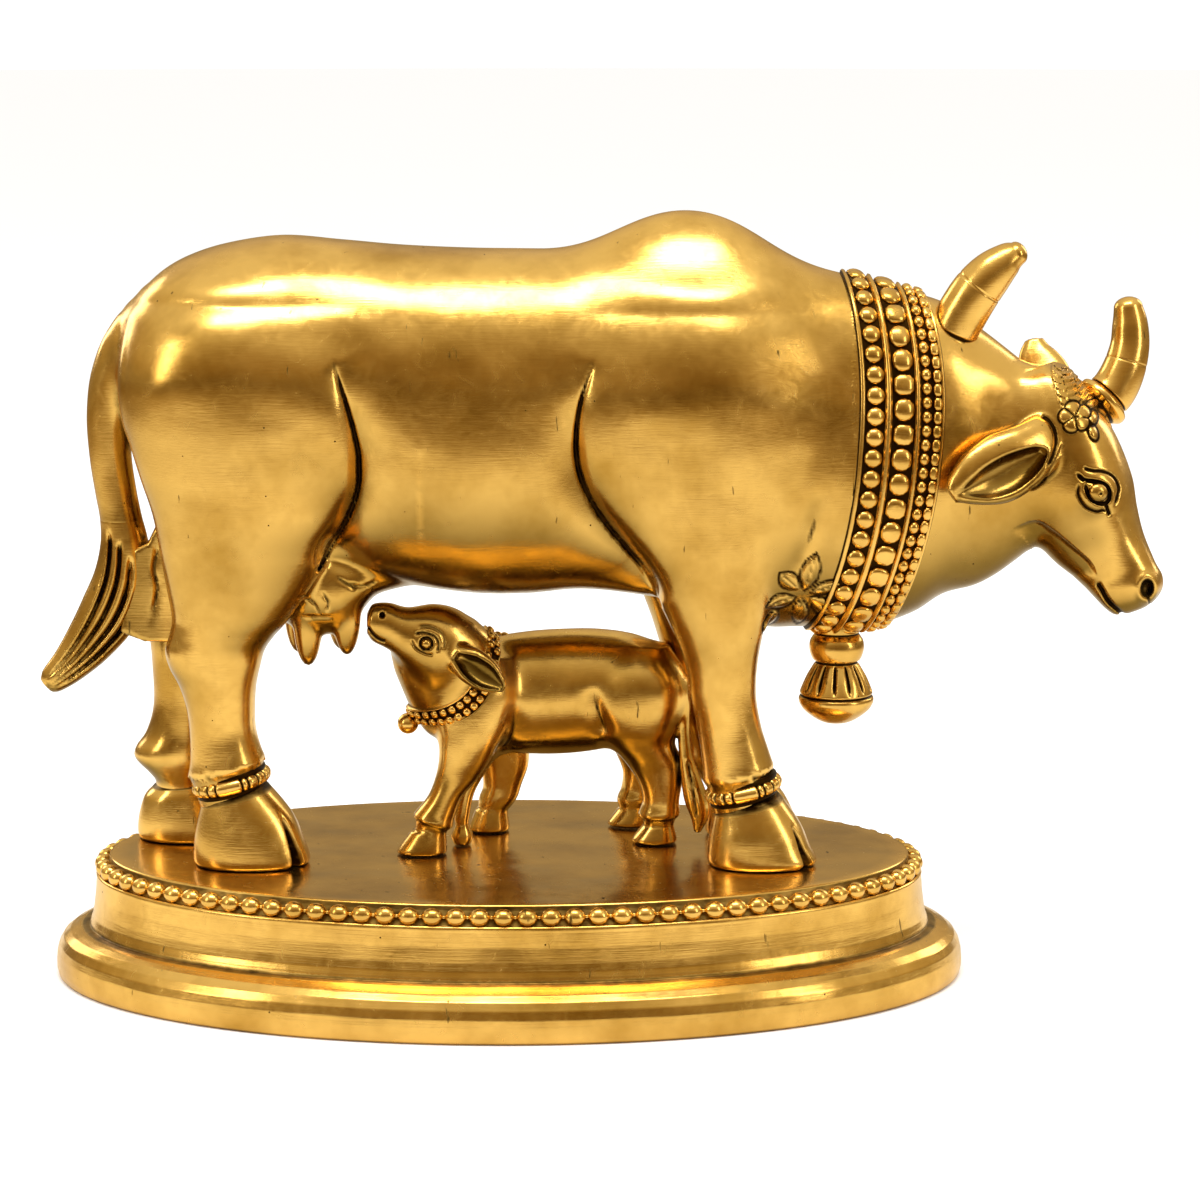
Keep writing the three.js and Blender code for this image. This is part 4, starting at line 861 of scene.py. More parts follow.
def skinned(field, xs, ys, zs):
    """The surface where a field is nought, as points and quads. The field is read on a coarse
    grid, then on the fine lines near the surface. Each fine cell that the surface crosses gets
    a point at the mean of its edges' crossings, and each crossed edge a quad of its four cells.
    The points are then evened out and put back on the surface along the slope."""
    stride = 4
    axes = [xs, ys, zs]
    coarse = [axis[::stride] for axis in axes]
    lattice = np.stack(np.meshgrid(*coarse, indexing="ij"), -1)
    values = field(lattice.reshape(-1, 3)).reshape(lattice.shape[:3])
    widest = max(np.diff(axis).max() for axis in coarse) * 1.5
    close = np.abs(values) < widest
    grown = close.copy()
    for axis in range(3):
        grown |= np.roll(close, 1, axis) | np.roll(close, -1, axis)
        close = grown.copy()
    sizes = [len(axis) for axis in axes]
    fine = values
    for axis in range(3):
        fine = np.repeat(fine, stride, axis).take(range(sizes[axis]), axis)
        grown = np.repeat(grown, stride, axis).take(range(sizes[axis]), axis)
    spots = np.nonzero(grown)
    fine[spots] = field(np.stack([axis[at] for axis, at in zip(axes, spots)], 1))
    solid = fine < 0
    shifts = [(i, j, k) for i in (0, 1) for j in (0, 1) for k in (0, 1)]
    windows = [tuple(slice(s, n - 1 + s) for s, n in zip(shift, sizes)) for shift in shifts]
    filled = sum(solid[window].astype(np.int8) for window in windows)
    cells = np.nonzero((filled > 0) & (filled < 8))
    number = np.full([n - 1 for n in sizes], -1, np.int64)
    number[cells] = np.arange(len(cells[0]))
    total, count = np.zeros((len(cells[0]), 3)), np.zeros(len(cells[0]))
    for a in shifts:
        for axis in range(3):
            if a[axis]:
                continue
            b = tuple(s + (at == axis) for at, s in enumerate(a))
            spot_a = tuple(c + s for c, s in zip(cells, a))
            spot_b = tuple(c + s for c, s in zip(cells, b))
            value_a, value_b = fine[spot_a], fine[spot_b]
            crossed = (value_a < 0) != (value_b < 0)
            share = np.where(crossed, value_a / np.where(crossed, value_a - value_b, 1), 0)
            place_a = np.stack([line[at] for line, at in zip(axes, spot_a)], 1)
            place_b = np.stack([line[at] for line, at in zip(axes, spot_b)], 1)
            total += np.where(crossed[:, None], place_a + (place_b - place_a) * share[:, None], 0)
            count += crossed
    points = total / count[:, None]
    quads = []
    for axis in range(3):
        u, v = (axis + 1) % 3, (axis + 2) % 3
        lower = [slice(1, n - 1) for n in sizes]
        upper = list(lower)
        lower[axis], upper[axis] = slice(0, sizes[axis] - 1), slice(1, sizes[axis])
        first, second = solid[tuple(lower)], solid[tuple(upper)]
        for leaving, order in ((first & ~second, 1), (~first & second, -1)):
            spot = list(np.nonzero(leaving))
            spot[u] = spot[u] + 1
            spot[v] = spot[v] + 1
            ring = []
            for du, dv in ((1, 1), (0, 1), (0, 0), (1, 0))[::order]:
                cell = list(spot)
                cell[u], cell[v] = cell[u] - du, cell[v] - dv
                ring.append(number[tuple(cell)])
            quads.append(np.stack(ring, 1))
    quads = np.concatenate(quads)
    edges = np.concatenate([quads[:, [0, 1]], quads[:, [1, 2]], quads[:, [2, 3]], quads[:, [3, 0]]])
    for turn_number in range(EVENING_ROUNDS):
        mean = np.zeros_like(points)
        degree = np.bincount(edges[:, 0], minlength=len(points)).astype(float)
        for axis in range(3):
            mean[:, axis] = np.bincount(edges[:, 0], points[edges[:, 1], axis], len(points))
        if turn_number < EVENING_ROUNDS - 1:
            points += EVENING_SHARE * (mean / degree[:, None] - points)
        slope = gradient_of(field, points)
        steep = (slope ** 2).sum(1) + 1e-6
        points -= np.clip(field(points) / steep, -LONGEST_MOVE, LONGEST_MOVE)[:, None] * slope
    slope = gradient_of(field, points)
    return points, quads, slope / (np.linalg.norm(slope, axis=1, keepdims=True) + 1e-9)


def hollowness(field, points, outward, reaches=(1.2, 2.6)):
    """How much a place lies in a recess: a short way out, how far short the distance falls."""
    short = [1 - field(points + outward * reach) / reach for reach in reaches]
    return np.clip(np.mean(short, 0), 0, 1)


cow_brass = cast_brass("buffed_brass_cow", (0.06, 0.6, 1.0))
RAISED = np.array([0, 0, LIFT])
# Grid lines in mm above the soles, closer together at the web, the creases and the leaves
xs = graded(-116, 95, 1.35, [(-116, -96)], 0.8)
xs = np.concatenate([xs[xs < -52], graded(-52, -35, 0.48), graded(-34.2, 16, 1.4),
                     graded(17.2, 43, 0.52), graded(44.2, 67, 1.35), graded(68, 95, 0.7)])
ys = graded(-38, 38, 1.25)
zs = graded(9, 178, 1.4, [(60, 90)], 0.85)
zs = np.concatenate([zs[zs < 68], graded(68, 88, 0.62), zs[zs > 89.2]])
points, quads, outward = skinned(body_field, xs, ys, zs)
_, slits, brown_shade = creased(points)
deep = np.clip(1.25 * hollowness(cow_field, points, outward) - 0.25, 0, 1)
wax_and_shade = np.maximum(deep, np.maximum(slits, marked(points)[1]))


def downward_shade(outward):
    """Painted shade, as browner metal, by how far a surface faces down: 0 level, 1 right down."""
    return 0.85 * smooth_step(-0.05, 0.6, -outward[:, 2])


# Painted shade as browner metal: beside the creases, on faces that look down, and on the web between tuft
# and thighs, which lies in their shade.
web_shade = (smooth_step(-92, -96, points[:, 0]) * smooth_step(52, 56, points[:, 2])
       * smooth_step(100, 90, points[:, 2]))
brown_shade = np.maximum(np.maximum(brown_shade, downward_shade(outward)), 0.35 * web_shade * (np.abs(points[:, 1]) < 9))
body = mesh_piece("cow_body", points + RAISED, [quads], cow_brass, {"wax_and_shade": wax_and_shade, "tone_and_shade": brown_shade})
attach(body, "root")
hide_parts("cow")

# Tuft of the tail: solid brass at the end of the cast tail, joined to it above the web.
# Its locks were cut with a round chisel after casting, and dark wax stays between them.
TUFT_WAX = 1.15
points, quads, outward = skinned(tail_field, graded(-131, -95, 0.5), graded(-9, 9, 0.6),
                                 graded(40, 95, 0.55))
wax_and_shade = tail_lines(points) * TUFT_WAX
# Painted shade browns the tuft's faces that look down.
tuft = mesh_piece("tail_tuft", points + RAISED, [quads], cow_brass, {"wax_and_shade": wax_and_shade, "tone_and_shade": downward_shade(outward)})
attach(tuft, "root")

# Cow's neck and head: cast with the body, filed and buffed, its ears drawn out in the wax model.
# The face is turned a little towards the viewer; eyes, mouth and jaw were sharpened by a punch.
HEAD_ORIGIN = np.array([149, -6, 122.0])
HEAD_PITCH, HEAD_YAW = math.radians(70), math.radians(21)
HEAD_ALONG = np.array([math.cos(HEAD_PITCH) * math.cos(HEAD_YAW),
                       -math.cos(HEAD_PITCH) * math.sin(HEAD_YAW), -math.sin(HEAD_PITCH)])
HEAD_FRONT = np.array([math.sin(HEAD_PITCH) * math.cos(HEAD_YAW),
                       -math.sin(HEAD_PITCH) * math.sin(HEAD_YAW), math.cos(HEAD_PITCH)])
HEAD_NEAR = np.array([-math.sin(HEAD_YAW), -math.cos(HEAD_YAW), 0])
HEAD_SQUARENESS = 2.25
# Rings across the face: [along it, front, back, half width]
HEAD = [
    [-13, 1, 5, 5], [-9, 4.5, 9, 9], [0, 8, 13, 12], [9, 10.6, 16, 13.2], [17, 11.5, 18, 14.1],
    [24, 11.4, 18.6, 13.8], [31, 10.4, 18.2, 12], [38, 10, 15.2, 9.8], [45.5, 10.6, 10, 8.5],
    [50, 11.2, 7.6, 8.3], [53.6, 10, 5.8, 7.4], [56, 7, 4.2, 5.4], [57, 4.4, 2.4, 3.4],
]
NECK_BLEND = 5.5
# Near ear and its hollow, from root to tip: [x, y, z, half height, half thickness]
NEAR_EAR = [
    [147, -12, 118.6, 4.4, 3], [142.8, -17.5, 115.4, 7, 4], [138, -20.5, 112.2, 8.3, 4.4],
    [131, -23, 108.9, 9.3, 4.4], [125, -24.8, 106.4, 7.9, 3.8], [120, -26, 103.8, 4.9, 2.8],
    [117.4, -26.6, 102, 2.4, 1.8],
]
EAR_HOLLOW = [
    [142.4, -20.4, 113, 1.2, 1.5], [139, -23, 111, 3.4, 3.4], [133.5, -26.3, 107.8, 4.9, 4.4],
    [127.5, -28.4, 105.2, 4.3, 4.2], [122.4, -29.6, 103.5, 2.1, 2.8], [119.6, -30, 102.5, 0.6, 1.2],
]
FAR_EAR = [
    [150, 3, 122, 5, 3.2], [147.6, 8, 126, 6.6, 3.4], [145.6, 11.5, 130.4, 6.8, 3],
    [144, 14, 135, 5, 2.6], [143.4, 15.4, 138.8, 2.4, 1.8],
]
# Marks on the side of the face, as [x, z] where a line of sight crosses the plane y = -18. The
# slope is how far x and z change with y along the line of sight. The face lies ahead of x = 130.
FACE_PLANE = -18
FACE_REAR = 130
SIGHT_SLOPE = np.array([0.1365, -0.146])
EYE_CENTRE, EYE_RADIUS, EYE_BULGE = (157.4, 101.5), 2.5, 1.3
PUPIL, PUPIL_RADIUS, PUPIL_DEPTH = (158.1, 101.1), 0.4, 0.8
LID_HEIGHT, LID_REACH = 0.9, 5.6
EYE_SLIT = [[153.8, 104.6], [154.1, 102.7], [154.7, 101.1], [155.8, 99.6], [157.3, 98.7], [159, 98.5],
            [160.1, 99.4], [160.4, 100.9], [160.2, 102.2], [159.3, 103.4], [157.8, 104.1], [155.8, 104.5],
            [153.6, 104.8], [152.2, 105.9], [151, 106.8]]
TEAR = [[159, 99.2], [159.5, 98.2], [159.9, 96.9], [160.6, 95.2]]
UPPER_LID = [[153, 108.5], [154.2, 107.7], [156, 107.3], [157.9, 107.2], [159.9, 106.6], [161.5, 105.4],
             [162.4, 103.7], [162.7, 102.2], [162.3, 100.2], [161.6, 97.2]]
LOWER_LID = [[152.3, 104.4], [152, 102], [152.2, 100.6], [152.9, 99.1], [154, 97.7], [155.4, 96.9],
             [157.1, 96.4], [158.7, 96.7], [159.8, 96.1]]
MOUTH = [[157.6, 77.4], [159, 75.2], [160.8, 72.2], [164.7, 68.6], [167, 66.6]]
NOSTRIL_CENTRE, NOSTRIL_HALVES = (171, 75.7), (2.0, 2.8)
NOSTRIL_DEPTH, NOSTRIL_RIM = 2.2, 0.5
LIP_LINE = [[171.2, 73.6], [171.5, 72.4], [171.9, 70.8]]
SEAM = [[148.6, 115.4], [146.2, 111.2], [144.7, 108.1], [142.8, 105.1], [140.8, 103.3], [138.6, 102.2]]
EAR_ROOT = [[141.4, 122], [143.6, 120.9], [145.2, 118.6], [145.9, 115.4], [145.2, 111.6], [143.4, 107.6]]
# Each line: its points, depth and half width
FACE_LINES = [(EYE_SLIT, 1.3, 0.48), (TEAR, 1.0, 0.42), (UPPER_LID, 0.8, 0.42), (LOWER_LID, 0.7, 0.38),
              (MOUTH, 1.1, 0.55), (LIP_LINE, 0.6, 0.35), (SEAM, 0.35, 0.4), (EAR_ROOT, 0.7, 0.5)]
JAW_LINE = [[134, 90.6], [136.4, 92.6], [141.2, 94], [146, 91.2], [150.9, 87.2], [155.8, 82.8],
            [157.9, 78.6]]
JAW_DEPTH, JAW_REACH = 1.1, 4.5
# The flower's middle, radius, petals and turn, and leaflets beside it: [x, z, long, wide, turn]
FLOWER_CENTRE, FLOWER_RADIUS, PETALS, FLOWER_TURN = (150.7, 121.7), 4.5, 5, 0.55
LEAFLETS = [[155.5, 121.6, 1.8, 1.1, 1.5], [155.6, 117.6, 2, 1.1, 1.9], [154.8, 125.2, 1.7, 1, 0.6]]
# The band over the brow: its middle line, length, half width, and the pitch of its scales
BAND_LINE = [[148.6, 138], [148.4, 134], [149.6, 129.6], [151.6, 124.4]]
BAND_LENGTH, BAND_HALF_WIDTH, SCALE_PITCH = 14.5, 4.3, 1.9


def head_place(along, front, near):
    """A place in the head's own measure: along the face, out of it and towards its near side."""
    return HEAD_ORIGIN + along * HEAD_ALONG + front * HEAD_FRONT + near * HEAD_NEAR


def head_shape():
    """A field for the head: superellipses across its axis, with one depth in front of the axis
    and another behind it."""
    rows = smooth_rows(HEAD)
    size = (rows[:, 1] + rows[:, 2] + 2 * rows[:, 3]) / 4
    slope = np.hypot(1, np.gradient(size, rows[:, 0]) * 0.8)

    def distance(p):
        """Distance to the ring at this place along the face, over the slope of the sides."""
        q = p - HEAD_ORIGIN
        along, front, near = q @ HEAD_ALONG, q @ HEAD_FRONT, q @ HEAD_NEAR
        fore, back, half, steep = (np.interp(along, rows[:, 0], column) for column in
                                   (rows[:, 1], rows[:, 2], rows[:, 3], slope))
        side = round_section(near, front, half, np.where(front > 0, fore, back), HEAD_SQUARENESS)
        return with_ends(side / steep, np.maximum(rows[0, 0] - along, along - rows[-1, 0]))
    spots = np.array([head_place(row[0], front, near) for row in HEAD for front in (row[1], -row[2])
                      for near in (row[3], -row[3])])
    return distance, spots.min(0), spots.max(0)


ear_leaf = limb(NEAR_EAR, 2.4)
ear_inside = limb(EAR_HOLLOW, 2.0)
head_union = union([
    (lengthwise(TRUNK), 1.0),
    (head_shape(), NECK_BLEND),
    (limb(FAR_EAR, 2.2), 2.0),
])


def near_ear(p):
    """The near ear: a leaf less a smaller leaf set nearer the viewer, with a rounded rim."""
    return -blended(-ear_leaf[0](p), ear_inside[0](p), 1.6)


plain_head = union([((head_union, [60, -40, 50], [180, 40, 170]), 1.0),
                    ((near_ear, ear_leaf[1], ear_leaf[2]), 1.6)])


def face_side(p):
    """Where a place lies on the side of the face: the far half is folded onto the near one, then
    each place is slid along the line of sight to the plane that the marks are laid out on."""
    aside = (p - HEAD_ORIGIN) @ HEAD_NEAR
    folded = p - 2 * np.minimum(aside, 0)[:, None] * HEAD_NEAR
    return folded[:, [0, 2]] - (folded[:, 1:2] - FACE_PLANE) * SIGHT_SLOPE


def punched(flat, lines):
    """Depth of lines punched into a surface: a bell curve across each, that tapers at its ends."""
    depth = np.zeros(len(flat))
    for points, deep, half_width in lines:
        aside, along = beside_line(points, flat, 3)
        taper = smooth_step(0, 0.1, along) * (1 - smooth_step(0.9, 1, along))
        depth = np.maximum(depth, deep * taper * np.exp(-(aside / half_width) ** 2))
    return depth


def eye_relief(flat):
    """Height and darkness of an eye: a round ball of metal with a pupil, on raised lids."""
    away = np.hypot(flat[:, 0] - EYE_CENTRE[0], flat[:, 1] - EYE_CENTRE[1])
    ball_height = EYE_BULGE * np.sqrt(np.clip(1 - (away / EYE_RADIUS) ** 2, 0, 1))
    off_pupil = np.hypot(flat[:, 0] - PUPIL[0], flat[:, 1] - PUPIL[1])
    pupil = np.exp(-(off_pupil / PUPIL_RADIUS) ** 2)
    lids = LID_HEIGHT * np.exp(-(away / LID_REACH) ** 4)
    return lids + ball_height - PUPIL_DEPTH * pupil, pupil


def nostril_relief(flat):
    """Depth and darkness of a nostril: an oval pit with a raised rim."""
    away = np.hypot((flat[:, 0] - NOSTRIL_CENTRE[0]) / NOSTRIL_HALVES[0],
                    (flat[:, 1] - NOSTRIL_CENTRE[1]) / NOSTRIL_HALVES[1])
    pit = 1 - smooth_step(0.45, 1.0, away)
    shade = 0.6 * pit + 0.5 * np.exp(-((away - 0.85) / 0.2) ** 2)
    return NOSTRIL_RIM * np.exp(-((away - 1.3) / 0.35) ** 2) - NOSTRIL_DEPTH * pit, shade


def brow_relief(flat):
    """Height and darkness of the brow's ornament: a five-petalled flower, leaflets, and a band of
    overlapping scales. Petals are domes round the centre; scales are saw teeth along the band."""
    across, up = flat[:, 0] - FLOWER_CENTRE[0], flat[:, 1] - FLOWER_CENTRE[1]
    away, turn = np.hypot(across, up) + 1e-6, np.arctan2(up, across)
    wave = np.abs(np.cos((turn - FLOWER_TURN) * PETALS / 2))
    edge = FLOWER_RADIUS * (0.72 + 0.28 * wave ** 0.5)
    inside = np.clip(1 - (away / edge) ** 4, 0, 1)
    between = np.exp(-(wave * away * 0.8 / 0.32) ** 2) * (away < edge)
    height = np.sqrt(inside) * 1.25 - 0.7 * between
    dark = np.maximum(between * inside, np.exp(-((away - edge) / 0.4) ** 2))
    for x, z, long, wide, angle in LEAFLETS:
        along, aside = seen_from(flat, x, z, angle)
        reach = np.hypot(along / long, aside / wide)
        height = np.maximum(height, np.sqrt(np.clip(1 - reach ** 2, 0, 1)))
        dark = np.maximum(dark, 0.9 * np.exp(-((reach - 1.25) / 0.3) ** 2) * (away > edge))
    aside, along = beside_line(BAND_LINE, flat, 8)
    length = along * BAND_LENGTH
    inside = (1 - smooth_step(BAND_HALF_WIDTH - 0.5, BAND_HALF_WIDTH + 0.2, np.abs(aside))) * (away > edge)
    inside = inside * smooth_step(0.0, 0.05, along) * (1 - smooth_step(0.93, 1.0, along))
    tooth = ((length + 0.13 * aside ** 2) / SCALE_PITCH + 0.5 * (np.abs(aside) > 1.5)) % 1
    height = np.maximum(height, inside * (0.35 + 0.6 * tooth))
    lines = np.exp(-(np.minimum(tooth, 1 - tooth) / 0.1) ** 2)
    lines = np.maximum(lines, np.exp(-((np.abs(aside) - 1.5) / 0.22) ** 2) * 0.7)
    border = np.exp(-((np.abs(aside) - BAND_HALF_WIDTH) / 0.4) ** 2) * (along > 0.03) * (along < 0.97)
    dark = np.maximum(dark, np.maximum(inside * lines * 0.65, border * 0.4 * (away > edge)))
    return height, dark


def face_relief(p):
    """Height added to the head by all the marks on the face, how waxy they are, and the painted shade in a
    band below the jaw line.
    """
    height, dark, brown_shade = np.zeros(len(p)), np.zeros(len(p)), np.zeros(len(p))
    near = p[:, 0] > FACE_REAR
    flat = face_side(p[near])
    lines = punched(flat, FACE_LINES)
    off_ball = np.hypot(flat[:, 0] - EYE_CENTRE[0], flat[:, 1] - EYE_CENTRE[1]) - EYE_RADIUS
    lines *= smooth_step(-0.35, 0.05, off_ball)
    total, black = -lines, lines / 0.7
    for relief in (eye_relief, nostril_relief, brow_relief):
        raised, shade = relief(flat)
        total, black = total + raised, np.maximum(black, shade)
    below, along = beside_line(JAW_LINE, flat, 9)
    middle = smooth_step(0.0, 0.3, along) * (1 - smooth_step(0.85, 1, along)) * (below > 0) * (below < 90)
    hollow = smooth_step(-0.6, 1.2, below) * np.exp(-np.maximum(below, 0) / JAW_REACH) * middle
    # Painted shade: a brown band below the jaw line.
    band = smooth_step(0, 1.4, below) * smooth_step(9, 5.5, below) * middle
    height[near], dark[near], brown_shade[near] = total - JAW_DEPTH * hollow, black, band
    return height, dark, brown_shade


def whole_head(p):
    """The head with its marks."""
    return plain_head(p) - face_relief(p)[0]


def head_field(p):
    """Neck, head and ears from the collar forwards."""
    return np.maximum(whole_head(p), COLLAR_CUT_X - 2 - p[:, 0])


# Grid lines closer together round the eye, the brow and the muzzle
xs = np.concatenate([graded(90, 115, 1.2), graded(116.6, 140, 0.7), graded(140.9, 150, 0.42),
                     graded(150.7, 163, 0.34), graded(163.8, 176, 0.42)])
ys = np.concatenate([graded(-34, -24, 0.7), graded(-23.2, -5, 0.5), graded(-4.1, 26, 0.8)])
zs = np.concatenate([graded(58, 64, 0.9), graded(65.4, 94, 0.46), graded(94.7, 109, 0.34),
                     graded(109.8, 134, 0.46), graded(134.9, 158, 0.8)])
points, quads, outward = skinned(head_field, xs, ys, zs)
_, black, brown_shade = face_relief(points)
wax_and_shade = np.maximum(hollowness(whole_head, points, outward, (0.8, 2.0)), black * 1.2)
# Painted shade as browner metal: the band below the jaw, the hollow of the near ear and faces that look
# down.
shadow = 0.6 * np.exp(-(ear_inside[0](points) / 0.6) ** 2) * (ear_leaf[0](points) < 0.2)
brown_shade = np.maximum(np.maximum(brown_shade * 0.8, downward_shade(outward)), shadow)
head = mesh_piece("cow_head", points + RAISED, [quads], cow_brass, {"wax_and_shade": wax_and_shade, "tone_and_shade": brown_shade})
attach(head, "root")

# Horns: brass cast on with the head, slightly curved and blunt, and buffed to the tip.
# A ring was filed round each root; the right one has a raised band between two filed rings.
# Stations from root to tip: [x, y, z, half height, half width]
LEFT_HORN = [
    [118.6, -7, 142.5, 6.8, 6.8], [121.5, -7.8, 148.4, 6.8, 6.6], [125, -8.6, 154.3, 6.6, 6.3],
    [129, -9.2, 159.2, 5.9, 5.6], [133, -9.6, 162.8, 4.5, 4.3], [135.6, -9.8, 164.4, 3.2, 3.1],
]
RIGHT_HORN = [
    [155, 0.5, 118.5, 6.4, 6.2], [161, 2.5, 123.7, 6.4, 6.2], [164.2, 3.4, 127.2, 6.2, 6.1],
    [166.6, 4, 132.4, 5.8, 5.8], [168, 4.6, 138.2, 5.3, 5.3], [168, 4.9, 144, 4.8, 4.8],
    [167.4, 5, 148.6, 3.9, 3.9],
]
# Rings round the horns: [share of the length, depth or, if negative, height, half width in mm]
LEFT_HORN_RINGS = [[0.03, 0.5, 0.5], [0.44, 0.12, 0.3]]
RIGHT_HORN_RINGS = [[0.1, 0.6, 0.45], [0.16, -1.3, 1.25], [0.222, 0.5, 0.4], [0.55, 0.1, 0.3]]
HORN_TIP = 0.75
HORN_ROWS, HORN_COLUMNS = 220, 56


def horn_rings(stations, rings, length):
    """Rings along the curve through the stations, and how deep each lies in a groove: an oval
    across the path at each step, less or more by a flat-topped bell curve at each filed ring's
    place, and drawn in by a quarter circle at the tip."""
    curve = smooth_rows(stations, 40)
    share = np.linspace(0, 1, HORN_ROWS)
    line = np.stack([np.interp(share * (len(curve) - 1), np.arange(len(curve)), column)
                     for column in curve.T], 1)
    _, across, up = frames_along(line[:, :3])
    filed, groove = np.zeros(HORN_ROWS), np.zeros(HORN_ROWS)
    for at, depth, width in rings:
        bell_curve = np.exp(-((share - at) * length / width) ** 4)
        filed -= depth * bell_curve
        groove = np.maximum(groove, bell_curve * (depth > 0) * min(1, abs(depth) * 2))
    turn = np.linspace(0, 2 * math.pi, HORN_COLUMNS, endpoint=False)[None, :]
    loops = (line[:, None, :3] + up[:, None] * ((line[:, 3:4] + filed[:, None]) * np.cos(turn))[..., None]
             + across[:, None] * ((line[:, 4:5] + filed[:, None]) * np.sin(turn))[..., None])
    middle, ahead = loops[-1].mean(0), line[-1, :3] - line[-2, :3]
    ahead /= np.linalg.norm(ahead)
    lift = np.radians([12, 26, 40, 54, 68, 80])[:, None, None]
    tip = middle + (loops[-1] - middle) * np.cos(lift) + ahead * line[-1, 3] * HORN_TIP * np.sin(lift)
    return np.concatenate([loops, tip]), np.concatenate([groove, np.zeros(len(lift))])


for name, stations, rings, length in (("horn_left", LEFT_HORN, LEFT_HORN_RINGS, 28),
                                      ("horn_right", RIGHT_HORN, RIGHT_HORN_RINGS, 36)):
    loops, groove = horn_rings(stations, rings, length)
    points, faces = closed_loops(loops, flip=True)
    wax_and_shade = np.append(np.repeat(groove, HORN_COLUMNS), [0, 0])
    horn = mesh_piece(name, points + RAISED, faces, cow_brass, {"wax_and_shade": wax_and_shade})
    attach(horn, "root")

# Hooves: brass cast with the legs, each filed to a flat sole that stands on the plinth.
# A saw cut up the front cleaves each one; its walls are dark with wax and with painted shade.
# Stations from the coronet to the sole: [z, front, rear, y, half width, tilt]; then the leg's side
HOOVES = {
    "near_hind": ([[19.3, -64.6, -82.6, -15.5, 9, 0.26], [12, -58.2, -84.2, -15.5, 10.2, 0.12],
                   [6, -55, -84.9, -15.5, 10.9, 0], [1.4, -53.6, -85, -15.5, 11.2, 0],
                   [0, -54.4, -84.2, -15.5, 10.6, 0]], -1),
    "far_hind": ([[15.2, -83, -99.4, 15.5, 8.6, 0.1], [12, -79.8, -102, 15.5, 9.8, 0.05],
                  [6, -75, -103.6, 15.5, 10.8, 0], [1.4, -73, -103.9, 15.5, 11.1, 0],
                  [0, -73.8, -103.2, 15.5, 10.5, 0]], 1),
    "near_front": ([[16.6, 73.9, 55.8, -15.8, 9, 0.23], [10, 79, 54.7, -15.8, 10.6, 0.1],
                    [5, 81.8, 54.1, -15.8, 11.3, 0], [1.4, 83.6, 54, -15.8, 11.6, 0],
                    [0, 82.8, 54.8, -15.8, 11, 0]], -1),
    "far_front": ([[16, 71, 55.5, 18.5, 9, 0.2], [10, 76.5, 55, 18.5, 10.4, 0.1],
                   [5, 79.5, 54.6, 18.5, 11, 0], [1.4, 81, 54.4, 18.5, 11.2, 0],
                   [0, 80.2, 55.2, 18.5, 10.6, 0]], 1),
}
CLEFT_TURN = 0.62
CLEFT_DEPTH = 3.8
CLEFT_WIDTH = 0.125
HOOF_POWER = 2.3
HOOF_ROWS, HOOF_COLUMNS = 44, 200


def hoof_rings(stations, side):
    """Rings of a hoof: superellipses from the coronet down, drawn in at the top and the sole, and
    sunk along one turn by a narrow bell curve, which is the cleft. Turns crowd near the cleft."""
    curve = smooth_rows(stations, 24)
    at = np.linspace(0, len(curve) - 1, HOOF_ROWS)
    line = np.stack([np.interp(at, np.arange(len(curve)), column) for column in curve.T], 1)
    even = np.linspace(-math.pi, math.pi, HOOF_COLUMNS, endpoint=False)
    turn = (even - 0.8 * np.sin(even)) + CLEFT_TURN * side
    c, s = np.cos(turn)[None], np.sin(turn)[None]
    radius = (np.abs(c) ** HOOF_POWER + np.abs(s) ** HOOF_POWER) ** (-1 / HOOF_POWER)
    off = (turn - CLEFT_TURN * side)[None]
    off = (off + math.pi) % (2 * math.pi) - math.pi
    share = np.linspace(0, 1, HOOF_ROWS)[:, None]
    cleft = np.exp(-(off / (CLEFT_WIDTH * (0.25 + share))) ** 4) * smooth_step(0.18, 0.5, share)
    long, half = (line[:, 1:2] - line[:, 2:3]) / 2, line[:, 4:5]
    along = c * radius * (long - cleft * CLEFT_DEPTH)
    rings = np.stack([(line[:, 1:2] + line[:, 2:3]) / 2 + along,
                      line[:, 3:4] + s * radius * (half - cleft * CLEFT_DEPTH * 0.5),
                      line[:, 0:1] + along * line[:, 5:6]], -1)
    top = rings[0].mean(0) + (rings[0] - rings[0].mean(0)) * 0.86 + [0, 0, 1.1]
    sole = rings[-1].mean(0) + (rings[-1] - rings[-1].mean(0)) * 0.5
    cleft = np.concatenate([cleft[:1] * 0, cleft, cleft[-1:] * 0])
    return np.concatenate([top[None], rings, sole[None]]), cleft


for name, (stations, side) in HOOVES.items():
    loops, cleft = hoof_rings(stations, side)
    points, faces = closed_loops(loops)
    down = np.linspace(0, 1, len(loops))[:, None]
    # Painted shade: a dark band round the sole, where the hoof stands on the plinth, and one round its top,
    # where it meets the leg.
    sole_shadow_and_top_band = 0.8 * (smooth_step(0.92, 0.97, down) + smooth_step(0.09, 0.03, down))
    # The cleft's walls are darkened broadly, for its wax and for the painted shade in the slot.
    hoof = mesh_piece("hoof_" + name, points + RAISED, faces, cow_brass,
                      {"wax_and_shade": np.append(np.maximum(0.85 * smooth_step(0.0, 0.3, cleft), sole_shadow_and_top_band), [0, 0])})
    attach(hoof, "root")

